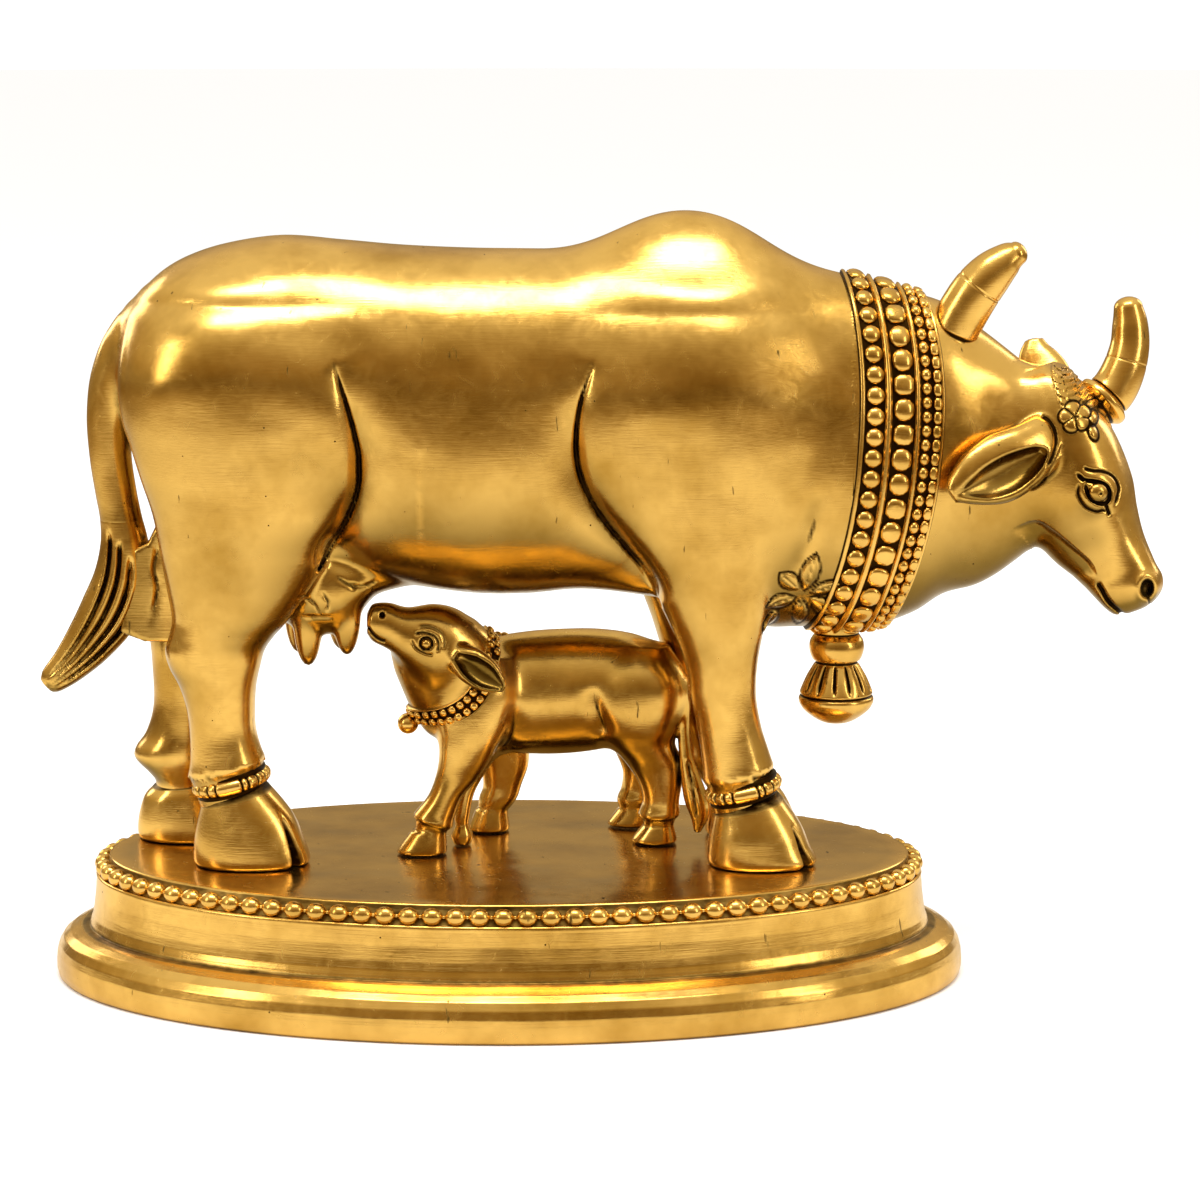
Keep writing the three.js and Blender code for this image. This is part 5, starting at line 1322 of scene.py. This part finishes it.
# Anklets: a stout ring round each near leg, cut into short beads with one long plate at the side.
# Thin rings, fully dark, are tucked against the leg above and below it as painted shade.
# Each leg's ring: [z, front, rear, y, half width, tilt]
ANKLETS = {"hind": [22.6, -65.4, -83.6, -15.5, 9.8, 0.23], "front": [20.6, 72.6, 54.8, -15.5, 9.6, 0.24]}
ANKLET_RADIUS = 1.9
ANKLET_BEADS = 22
PLATE_HALF_TURN = 0.36
PLATE_TURN = 1.51 * math.pi
# Painted shade rings: their radius, and how far above and below the anklet they lie
SHADE_RING_RADIUS = 0.9
SHADE_RING_RISES = (2.2, -2.2)
ANKLET_COLUMNS, ANKLET_SIDES, SHADE_RING_SIDES = 420, 18, 10


def anklet_loop(row, turn, out, rise):
    """Points on the tilted oval of an anklet, grown outwards and raised."""
    z, front, rear, y, half, tilt = row
    c, s = np.cos(turn), np.sin(turn)
    radius = (np.abs(c) ** ROUNDNESS + np.abs(s) ** ROUNDNESS) ** (-1 / ROUNDNESS)
    along = c * radius * ((front - rear) / 2 + out)
    return np.stack([(front + rear) / 2 + along, y + s * radius * (half + out),
                     z + rise + along * tilt], -1)


def rim_of(line, radius, sides):
    """A closed ring with a round section that follows a closed line of points."""
    ahead = unit(np.roll(line, -1, 0) - np.roll(line, 1, 0))
    outward = unit(np.cross(ahead, [0, 0, 1.0]))
    upward = np.cross(outward, ahead)
    turn = np.linspace(0, 2 * math.pi, sides, endpoint=False)[None, :, None]
    size = np.broadcast_to(np.asarray(radius, float).reshape(-1, 1, 1), (len(line), 1, 1))
    rings = line[:, None] + size * (np.cos(turn) * outward[:, None] + np.sin(turn) * upward[:, None])
    faces = loop_faces(len(line) + 1, sides) % (len(line) * sides)
    return rings.reshape(-1, 3), [faces]


for name, row in ANKLETS.items():
    turn = np.linspace(0, 2 * math.pi, ANKLET_COLUMNS, endpoint=False)
    phase = (turn * ANKLET_BEADS / (2 * math.pi) + 0.5) % 1
    off_plate = np.abs((turn - PLATE_TURN + math.pi) % (2 * math.pi) - math.pi)
    gap = np.exp(-(np.minimum(phase, 1 - phase) / 0.13) ** 2) * (off_plate > PLATE_HALF_TURN)
    gap = np.maximum(gap, np.exp(-((off_plate - PLATE_HALF_TURN) / 0.035) ** 2))
    flat = 1 + 0.08 * (off_plate < PLATE_HALF_TURN)
    radius = ANKLET_RADIUS * flat * (1 - 0.36 * gap)
    ring = rim_of(anklet_loop(row, turn, -0.35, 0), radius, ANKLET_SIDES)
    shade_rings = [rim_of(anklet_loop(row, turn, -0.8, rise), SHADE_RING_RADIUS, SHADE_RING_SIDES) for rise in SHADE_RING_RISES]
    points, faces = together(ring, *shade_rings)
    # The shade rings are painted fully dark.
    shade_ring_darkness = np.full(len(SHADE_RING_RISES) * ANKLET_COLUMNS * SHADE_RING_SIDES, 1.3)
    wax_and_shade = np.append(np.repeat(gap * 1.1, ANKLET_SIDES), shade_ring_darkness)
    band = mesh_piece("anklet_" + name, points + RAISED, faces, cow_brass, {"wax_and_shade": wax_and_shade})
    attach(band, "root")

# Collar: a broad band chased on the neck with rows of round, oval and square beads between ribs.
# The brass stands bright on a ground left black with wax.
COLLAR_THROAT_X = 80.5
COLLAR_CREST_LEAD, COLLAR_SIDE_LEAD, COLLAR_SIDE_BEND = 9, 7.8, 1.7
# Section of the ground: [offset across the collar, height above the neck]
COLLAR_GROUND = [
    [-0.4, -1.5], [-0.2, 0.5], [0.3, 1.1], [0.9, 1.1], [1.3, 0.4], [6.4, 0.4], [6.8, 1.0], [7.2, 1.7],
    [7.8, 1.7], [8.2, 1.0], [8.6, 0.4], [14.4, 0.4], [14.8, 1.0], [15.1, 1.6], [15.6, 1.6],
    [15.9, 1.0], [16.2, 0.5], [21.5, 0.4], [21.9, 0.9], [22.3, 0.9], [22.6, 0.3], [22.7, -1.5],
]
COLLAR_COLUMNS = 260
# How high above the neck the beads' middles lie, and the steps that their line is measured in
COLLAR_SKIN = 0.4
COLLAR_STEPS = 3000
trunk_rows = smooth_rows(TRUNK)


def neck_skin(turn, offset, height):
    """A point on the neck at an angle from the crest: the collar's line bows ahead at the sides."""
    c, s = np.cos(turn), np.sin(turn)
    x = COLLAR_THROAT_X + COLLAR_CREST_LEAD * (1 + c) / 2
    x = x + COLLAR_SIDE_LEAD * np.abs(s) ** COLLAR_SIDE_BEND + offset
    low, high, y, half = (np.interp(x, trunk_rows[:, 0], trunk_rows[:, at]) for at in (1, 2, 3, 4))
    across = np.sign(s) * np.abs(s) ** (2 / ROUNDNESS) * (half + height)
    up = np.sign(c) * np.abs(c) ** (2 / ROUNDNESS) * ((high - low) / 2 + height)
    return np.stack([x, y - across, (low + high) / 2 + up], -1)


def on_neck(offset, count):
    """Evenly spaced places round the collar with three axes: along it, across it and outwards."""
    around = np.linspace(0, 2 * math.pi, COLLAR_STEPS, endpoint=False)
    path = neck_skin(around, offset, COLLAR_SKIN)
    loop = np.vstack([path, path[:1]])
    length = np.concatenate([[0], np.cumsum(np.linalg.norm(np.diff(loop, axis=0), axis=1))])
    at = (np.arange(count) + 0.5) / count * length[-1]
    turns = np.interp(at, length, np.append(around, 2 * math.pi))
    along = unit(neck_skin(turns + 0.01, offset, COLLAR_SKIN) - neck_skin(turns - 0.01, offset, COLLAR_SKIN))
    across = neck_skin(turns, offset + 0.2, COLLAR_SKIN) - neck_skin(turns, offset - 0.2, COLLAR_SKIN)
    outward = unit(np.cross(across, along))
    axes = np.stack([along, np.cross(along, outward), outward], 1)
    return neck_skin(turns, offset, COLLAR_SKIN), axes


def band_faces(rows, columns):
    """Faces of a band that goes round: each row of its section joined to the next, the last row
    to the first."""
    last, first = (rows - 1) * columns + np.arange(columns), np.arange(columns)
    closing = np.stack([last, np.roll(last, -1), np.roll(first, -1), first], 1)
    return [group[:, ::-1] for group in (loop_faces(rows, columns), closing)]


def block(rows, columns, power):
    """A unit block with round edges: a ball stretched to a superellipsoid of this power."""
    points, faces = ball(rows, columns)
    size = (np.abs(points) ** power).sum(1) ** (-1 / power)
    return points * size[:, None], faces


turn = np.linspace(0, 2 * math.pi, COLLAR_COLUMNS, endpoint=False)[None, :]
ground = held(COLLAR_GROUND, 0.25)
points = neck_skin(turn, ground[:, :1], ground[:, 1:]).reshape(-1, 3)
wax_and_shade = np.repeat(np.where(ground[:, 1] < 0.6, 1.3, 0.0), COLLAR_COLUMNS)
collar = mesh_piece("collar_ground", points + RAISED, band_faces(len(ground), COLLAR_COLUMNS), cow_brass,
                    {"wax_and_shade": wax_and_shade})
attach(collar, "root")
# Bead rows: [offset, how many, one or two kinds of bead], and for each kind its unit shape and
# half sizes along, across and outwards. Two kinds follow each other irregularly.
BEAD_ROWS = [
    [3.9, 44, [(ball(8, 12), (2.65, 2.6, 1.65))]],
    [11.5, 36, [(block(8, 12, 2.4), (3.15, 2.85, 1.6)), (block(8, 12, 4.5), (2.8, 2.7, 1.35))]],
    [17.6, 62, [(ball(8, 12), (1.8, 1.45, 1.5))]],
    [20.4, 62, [(block(8, 12, 5.0), (1.75, 1.15, 1.3))]],
]
bodies = []
for offset, count, kinds in BEAD_ROWS:
    places, axes = on_neck(offset, count)
    first = (np.sin(np.arange(count) * 2.4) > -0.2) | (len(kinds) == 1)
    for (shape, halves), chosen in zip(kinds, (first, ~first)):
        bodies.append(copies(shape, places[chosen], axes[chosen], halves))
points, faces = together(*bodies)
collar_beads = mesh_piece("collar_beads", points + RAISED, faces, cow_brass, {"wax_and_shade": 0 * points[:, 0]})
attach(collar_beads, "root")

# Bell: a solid brass pendant cast on under the collar, turned in the wax model.
# It has a round knob, a skirt with flutes cut by hand, and a domed foot.
BELL_X = 89.5
BELL_COLUMNS = 260
# Its profile from the foot up: [radius, z above the soles, 1 where it is fluted]
BELL_PROFILE = [
    [0.4, 35.3, 0], [3.5, 35.7, 0], [6.3, 37.1, 0], [8.9, 39.2, 0], [10, 40.9, 0], [10.25, 41.9, 0],
    [10.1, 42.7, 0], [9.6, 43.1, 0], [9.5, 43.4, 0], [9.9, 43.8, 0], [9.8, 44.5, 0.2], [9.1, 46.3, 1],
    [8.1, 48.5, 1], [7.0, 50.4, 1], [6.2, 51.7, 0.6], [5.7, 52.2, 0], [5.7, 52.6, 0], [6.5, 53.2, 0],
    [7.2, 54.8, 0], [7.5, 56.6, 0], [7.2, 58.4, 0], [6.4, 59.7, 0], [6.0, 60.3, 0], [6.2, 61.0, 0],
    [6.2, 63, 0], [5.6, 66.4, 0],
]
BELL_FLUTES = 13
BELL_SEAMS = (43.25, 52.4, 60.4)
profile = smooth_rows(BELL_PROFILE, 4)
turn = np.linspace(0, 2 * math.pi, BELL_COLUMNS, endpoint=False)[None, :]
phase = (turn * BELL_FLUTES / (2 * math.pi) + 0.5) % 1
line = np.exp(-(np.minimum(phase, 1 - phase) / 0.1) ** 2)
dip = profile[:, 2:3] * (0.75 * line + 0.35 * (1 - np.abs(np.sin(phase * math.pi))))
radius = profile[:, :1] - dip
rings = np.stack([BELL_X + radius * np.cos(turn), radius * np.sin(turn), profile[:, 1:2] + 0 * turn], -1)
points, faces = closed_loops(rings)
seam = sum(np.exp(-((profile[:, 1:2] - level) / 0.35) ** 2) for level in BELL_SEAMS) * 1.2 + 0 * turn
wax_and_shade = np.maximum(smooth_step(0.25, 0.7, dip) * 1.2, seam)
bell = mesh_piece("bell", points + RAISED, faces, cow_brass, {"wax_and_shade": np.append(wax_and_shade, [0, 0])})
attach(bell, "root")

# Calf: cast apart from the cow and pinned to the plinth, in the same buffed brass.
# It lifts its nose towards the udder. Its trunk and head are laid out as the cow's trunk is, its
# neck, legs and hooves as the cow's legs are, and its tail and ears as the cow's tail is.
CALF_TRUNK = [
    [-16, 37, 47, 6, 5], [-11, 31, 54, 7, 9.5], [-4, 26.4, 57.4, 8.4, 12], [5, 24.8, 58.8, 9.8, 13],
    [15, 24.4, 59.2, 11.5, 13.4], [25, 25.4, 59, 12.4, 13.4], [34, 28, 57.8, 11.2, 12.6],
    [41, 31, 54.6, 8.8, 10.6], [45.6, 35, 50.6, 6.8, 7.2], [48.6, 39, 46.4, 5.6, 3.4],
]
CALF_NECK = [
    [63, -10, -22, -2.5, 5, 0], [58, -5.4, -31, -2.4, 8, 0], [52, -2.4, -31.4, -0.8, 9.8, 0],
    [45, 2, -29.2, 1.2, 10.8, 0], [38, 4, -26.4, 3.4, 11, 0], [32, 4, -22.8, 5.2, 9.8, 0],
    [28.5, 0, -17, 6, 6, 0],
]
CALF_HEAD = [
    [-37.8, 61.4, 67.4, -8, 3], [-36.2, 59.4, 69.6, -7.8, 4.6], [-32, 57, 69.8, -7.2, 5.4],
    [-27, 52.6, 68.4, -6.2, 6.9], [-20, 47.6, 69, -4.8, 8.5], [-14, 49, 67.4, -3.4, 8.4],
    [-8, 52, 63, -1.6, 6.4], [-4.6, 54, 59.8, -0.8, 3.6],
]
CALF_LEGS = [
    [[53, -10, 0, 1.4, 5, 0], [46, -15.5, 0, -1.6, 6.8, 0], [39, -18, -0.6, -3.2, 7.2, 0],
     [32, -18.8, -2, -4, 6.8, 0], [26, -19, -4.8, -4.4, 6.1, 0], [21, -20, -8, -4.6, 5.4, 0],
     [16, -22, -12.2, -4.8, 5.2, 0], [11, -25.2, -14.6, -5, 5.4, -0.15],
     [9.2, -26, -15.2, -5, 5.6, -0.3], [7.8, -25.4, -16.4, -5, 4.7, -0.3], [5, -26, -17.6, -5, 4.1, 0]],
    [[50, -9, 0, 16, 4.5, 0], [42, -13, 2, 18.5, 6.4, 0], [34, -13.5, 4, 20.4, 6.8, 0],
     [26, -11.5, 5, 21.4, 6.2, 0], [19, -8.6, 5, 21.8, 5.4, 0], [13, -7.8, 3, 22, 4.9, 0],
     [9, -9, 1.6, 22, 4.9, 0], [5, -9.2, -1.4, 22, 4.1, 0]],
    [[31, -7, 1, 6.5, 4.2, 0], [23, -11, -4.6, 6, 3.2, 0], [15, -14, -9.4, 5.6, 2.6, 0],
     [8, -15.2, -11, 5.2, 2.4, 0], [5.5, -15, -11.2, 5.2, 2.2, 0], [2.5, -16.2, -10.1, 5.2, 3, 0],
     [0, -15.4, -10.8, 5.2, 2.6, 0]],
    [[55, 33, 44, 9, 6, 0], [48, 27, 47.4, 7.4, 9.4, 0], [40, 24.4, 48.4, 6.6, 10, 0],
     [33, 25, 47, 6.6, 9.4, 0], [28, 27.6, 45.8, 7, 8, 0], [22.5, 32.2, 48, 7.4, 6.4, 0],
     [17, 35.6, 47.8, 7.6, 5.6, 0], [12, 36.8, 47, 7.6, 5.2, 0], [8, 35.6, 47, 7.6, 5.6, 0],
     [6.6, 36.6, 46, 7.6, 4.7, 0], [4, 37.4, 45, 7.6, 4.1, 0]],
    [[50, 38, 31, 16, 4.5, 0], [43, 41, 27.6, 19.4, 6.4, 0], [36, 42, 26, 22.4, 6.8, 0],
     [28, 42.4, 26.6, 25, 6.2, 0], [22, 42.8, 29, 26.8, 5.6, 0], [16, 42.6, 31.3, 27.6, 5.2, 0],
     [11, 41.6, 31, 28, 4.9, 0], [7.5, 41.4, 29.8, 28, 5, 0], [4, 40, 31, 28, 4.1, 0]],
]
CALF_HOOVES = [
    [[6.4, -26.6, -17.2, -5, 4.6, 0], [1, -30.4, -16.9, -5, 5.3, 0], [0, -29.8, -17.4, -5, 5, 0]],
    [[6.2, -9.8, -1, 22, 4.6, 0], [1, -11.9, -0.4, 22, 5.2, 0], [0, -11.3, -0.9, 22, 4.9, 0]],
    [[4.8, 36.8, 45.4, 7.6, 4.6, 0], [1, 33.9, 46.3, 7.6, 5.2, 0], [0, 34.5, 45.8, 7.6, 4.9, 0]],
    [[5.4, 30.6, 40.4, 28, 4.6, 0], [1, 27.3, 40.8, 28, 5.2, 0], [0, 27.9, 40.3, 28, 4.9, 0]],
]
CALF_TAIL = [
    [41, 12, 50, 3, 3], [45.4, 8, 47.6, 2.6, 2.8], [47.6, 4.4, 41, 2, 2.2], [48, 3, 31, 1.7, 2],
    [48.8, 2.6, 24, 2, 2.2], [51, 2.4, 15, 3.2, 2.8], [52.4, 2.2, 9.4, 2.8, 2.4], [51.8, 2, 4, 0.9, 1],
]
CALF_EAR = [
    [-16.6, -8.6, 57.8, 2.4, 1.8], [-13.6, -11.2, 56.2, 3.6, 2.3], [-9.8, -13, 53.9, 4.9, 2.6],
    [-5.6, -14.2, 51.1, 4.5, 2.4], [-2.3, -14.8, 48.8, 2.6, 1.7], [-0.8, -15, 47.6, 1, 0.9],
]
CALF_FAR_EAR = [
    [-15.5, 3.5, 57, 2, 1.6], [-13.4, 7, 57, 3.4, 1.9], [-10.8, 10.5, 56.4, 4, 2],
    [-8.4, 13, 55.4, 2.8, 1.6], [-7, 14.6, 54.6, 0.7, 0.7],
]
calf_brass = cast_brass("buffed_brass_calf", (0.1, 0.6, 1.0))
calf_leaf = limb(CALF_EAR, 2.2)
CALF_HOLLOW_SHARES = (0.3, 0.62, 0.7, 0.6, 0.4)
calf_inside = limb([[x, y - 1.7, z, tall * share, wide * 1.1]
                    for (x, y, z, tall, wide), share in zip(CALF_EAR[1:], CALF_HOLLOW_SHARES)])


def calf_ear(p):
    """The calf's near ear: a leaf less a smaller one set nearer the viewer."""
    return -blended(-calf_leaf[0](p), calf_inside[0](p), 0.6)


calf_parts = [(lengthwise(CALF_TRUNK, 2.0), 1.0), (downwards(CALF_NECK), 6.0),
              (lengthwise(CALF_HEAD), 3.0)]
calf_parts += [(downwards(leg), 4.0) for leg in CALF_LEGS]
calf_parts += [(downwards(hoof), 0.5) for hoof in CALF_HOOVES]
calf_parts += [(limb(CALF_TAIL), 1.2), (limb(CALF_FAR_EAR, 2.2), 1.0),
               ((calf_ear, calf_leaf[1], calf_leaf[2]), 1.0)]
plain_calf = union(calf_parts)
CALF_HEAD_MIDDLE = -5.5
# The calf's eye and nostril: x, z and radius. Its punched lines: points, depth and half width
CALF_EYE = (-21.7, 59.8, 1.3)
CALF_NOSTRIL = (-33.6, 67.2, 0.95)
CALF_LINES = [
    ([[-25.2, 62.2], [-22.4, 62.7], [-19.4, 61.6], [-18.4, 59.4], [-18.9, 57.2]], 0.6, 0.34),
    ([[-25.6, 60.8], [-24.6, 58.6], [-22.4, 57.2], [-19.6, 56.6]], 0.5, 0.32),
    ([[-24.2, 64], [-21, 64.2], [-17.9, 62.6], [-16.8, 60], [-17.2, 58]], 0.4, 0.36),
    ([[-37.6, 64.2], [-36, 62], [-34.4, 60.6], [-32.6, 60]], 0.7, 0.4),
]
# Folds on both flanks, before the haunch and behind the shoulder: points, depth, belly's side
CALF_FOLDS = [([[23, 46.5], [23.7, 41.6], [25, 37], [27.6, 30.5]], 1.2, 1),
              ([[0.4, 43], [1.4, 36.4], [0.2, 31], [-3, 26.4]], 1.1, -1)]
TAIL_GROOVES = [([[48.9, 25], [50.4, 17], [51.8, 8]], 0.7, 0.42)]


def calf_marks(p):
    """Height and darkness of the calf's marks: eye, lids, nostril and mouth on its head, folded
    onto the near side, and soft folds on its flanks."""
    height, dark = np.zeros(len(p)), np.zeros(len(p))
    head = (p[:, 0] < -14) & (np.abs(p[:, 1] - CALF_HEAD_MIDDLE) > 1.5)
    flat = p[head][:, [0, 2]]
    lines = punched(flat, CALF_LINES)
    x, z, radius = CALF_EYE
    away = np.hypot(flat[:, 0] - x, flat[:, 1] - z)
    ring = np.exp(-((away - radius - 0.3) / 0.3) ** 2)
    raised = 0.7 * np.sqrt(np.clip(1 - (away / radius) ** 2, 0, 1)) + 0.4 * np.exp(-(away / 3) ** 4)
    x, z, size = CALF_NOSTRIL
    pit = 1 - smooth_step(0.5, 1.0, np.hypot(flat[:, 0] - x, flat[:, 1] - z) / size)
    height[head] = raised - lines - 0.8 * ring - 1.2 * pit
    dark[head] = np.maximum(np.maximum(lines / 0.6, ring), pit)
    body = p[:, 0] > -12
    flat = p[body][:, [0, 2]]
    for points, deep, belly in CALF_FOLDS:
        aside, along = beside_line(points, flat, 9)
        aside = aside * belly
        fade = smooth_step(0, 0.5, along) * (1 - smooth_step(0.8, 1, along))
        valley = np.exp(-(aside / np.where(aside > 0, 3.4, 2.0)) ** 2)
        height[body] -= deep * fade * valley
        dark[body] = np.maximum(dark[body], 0.85 * fade * np.exp(-(aside / 0.5) ** 2))
    lines = punched(flat, TAIL_GROOVES)
    height[body] -= lines
    dark[body] = np.maximum(dark[body], lines / 0.7)
    return height, dark


def calf_field(p):
    """The calf with its marks."""
    return plain_calf(p) - calf_marks(p)[0]


xs = graded(-40, 57, 0.7, [(-40, -14)], 0.38)
ys = graded(-17, 35, 0.65)
zs = graded(-1, 73, 0.7, [(48, 73)], 0.42)
points, quads, outward = skinned(calf_field, xs, ys, zs)
wax_and_shade = np.maximum(hollowness(calf_field, points, outward, (0.6, 1.5)), calf_marks(points)[1] * 1.1)
# Painted shade as browner metal: the near ear's hollow and faces that look down, over a slight brown tone
# all over.
hollow = 0.85 * np.exp(-(calf_inside[0](points) / 0.6) ** 2) * (calf_leaf[0](points) < 0.2)
brown_shade = np.maximum(np.maximum(0.05, hollow), downward_shade(outward))
calf = mesh_piece("calf_body", points + RAISED, [quads], calf_brass, {"wax_and_shade": wax_and_shade, "tone_and_shade": brown_shade})
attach(calf, "root")
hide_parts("calf")

# Calf's collar: two rows of square beads cast on a band round its neck, which is dark with wax.
# A round knob of solid brass hangs at the throat.
CALF_COLLAR_NAPE, CALF_COLLAR_THROAT = np.array([-3.9, 2, 60.6]), np.array([-26.4, 2, 37.2])
CALF_COLLAR_SAG = 7.8
CALF_COLLAR_COLUMNS = 120
# Section of the band: (offset across the collar, height above the neck)
CALF_BAND = [(-3.0, -1.2), (-2.9, 0.5), (-2.7, 0.75), (-2.45, 0.2), (-0.2, 0.2), (0, 0.3), (0.2, 0.2),
             (2.45, 0.2), (2.7, 0.6), (2.9, 0.4), (3.0, -1.2)]
CALF_BEAD_OFFSETS, CALF_BEAD_COUNT, CALF_BEAD_HALVES = (-1.3, 1.3), 33, (1.0, 1.05, 0.8)
KNOB_RADIUS = 2.9
KNOB_CENTRE = np.array([-27.6, 1.6, 34.8])
middle = (CALF_COLLAR_NAPE + CALF_COLLAR_THROAT) / 2
down = CALF_COLLAR_THROAT - middle
down /= np.linalg.norm(down)
near = np.array([0, -1.0, 0])
axis = np.cross(near, down)
calf_bulk = union(calf_parts[:3 + len(CALF_LEGS)])


def calf_neck(turn, offset, height):
    """Points on the calf's collar. Its middle line is bowed back by the sag times a power of
    the sine of the turn; from there rays run out to where the neck's field changes sign, found
    by halving, below the middle line and below the place itself, and on by the height."""
    turn = np.atleast_1d(np.asarray(turn, float))
    bow = CALF_COLLAR_SAG * np.abs(np.sin(turn)) ** 1.4
    ray = down * np.cos(turn)[:, None] + near * np.sin(turn)[:, None]
    reaches = []
    for slide in (bow, bow + offset):
        low, high = np.full(len(turn), 4.0), np.full(len(turn), 24.0)
        for _ in range(18):
            half = (low + high) / 2
            inside = calf_bulk(middle + axis * slide[:, None] + ray * half[:, None]) < 0
            low, high = np.where(inside, half, low), np.where(inside, high, half)
        reaches.append(low)
    return middle + axis * (bow + offset)[:, None] + ray * (np.mean(reaches, 0) + height)[:, None]


turn = np.linspace(0, 2 * math.pi, CALF_COLLAR_COLUMNS, endpoint=False)
band = np.stack([calf_neck(turn, offset, height) for offset, height in CALF_BAND])
bodies = [(band.reshape(-1, 3), band_faces(len(CALF_BAND), CALF_COLLAR_COLUMNS))]
turns = np.arange(CALF_BEAD_COUNT) / CALF_BEAD_COUNT * 2 * math.pi
for offset in CALF_BEAD_OFFSETS:
    along = unit(calf_neck(turns + 0.01, offset, 0) - calf_neck(turns - 0.01, offset, 0))
    across = calf_neck(turns, offset + 0.5, 0) - calf_neck(turns, offset - 0.5, 0)
    outward = unit(np.cross(across, along))
    outward *= np.sign(((calf_neck(turns, offset, 0) - middle) * outward).sum(1))[:, None]
    axes = np.stack([along, np.cross(outward, along), outward], 1)
    bodies.append(copies(block(6, 10, 4.0), calf_neck(turns, offset, 0.6), axes, CALF_BEAD_HALVES))
bodies.append(copies(ball(14, 20), KNOB_CENTRE[None], np.eye(3)[None], (KNOB_RADIUS,) * 3))
points, faces = together(*bodies)
wax_and_shade = np.zeros(len(points))
wax_and_shade[:band[..., 0].size] = np.repeat([1.2 if height <= 0.45 else 0.2 for _, height in CALF_BAND],
                                    CALF_COLLAR_COLUMNS)
calf_collar = mesh_piece("calf_collar", points + RAISED, faces, calf_brass, {"wax_and_shade": wax_and_shade})
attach(calf_collar, "root")
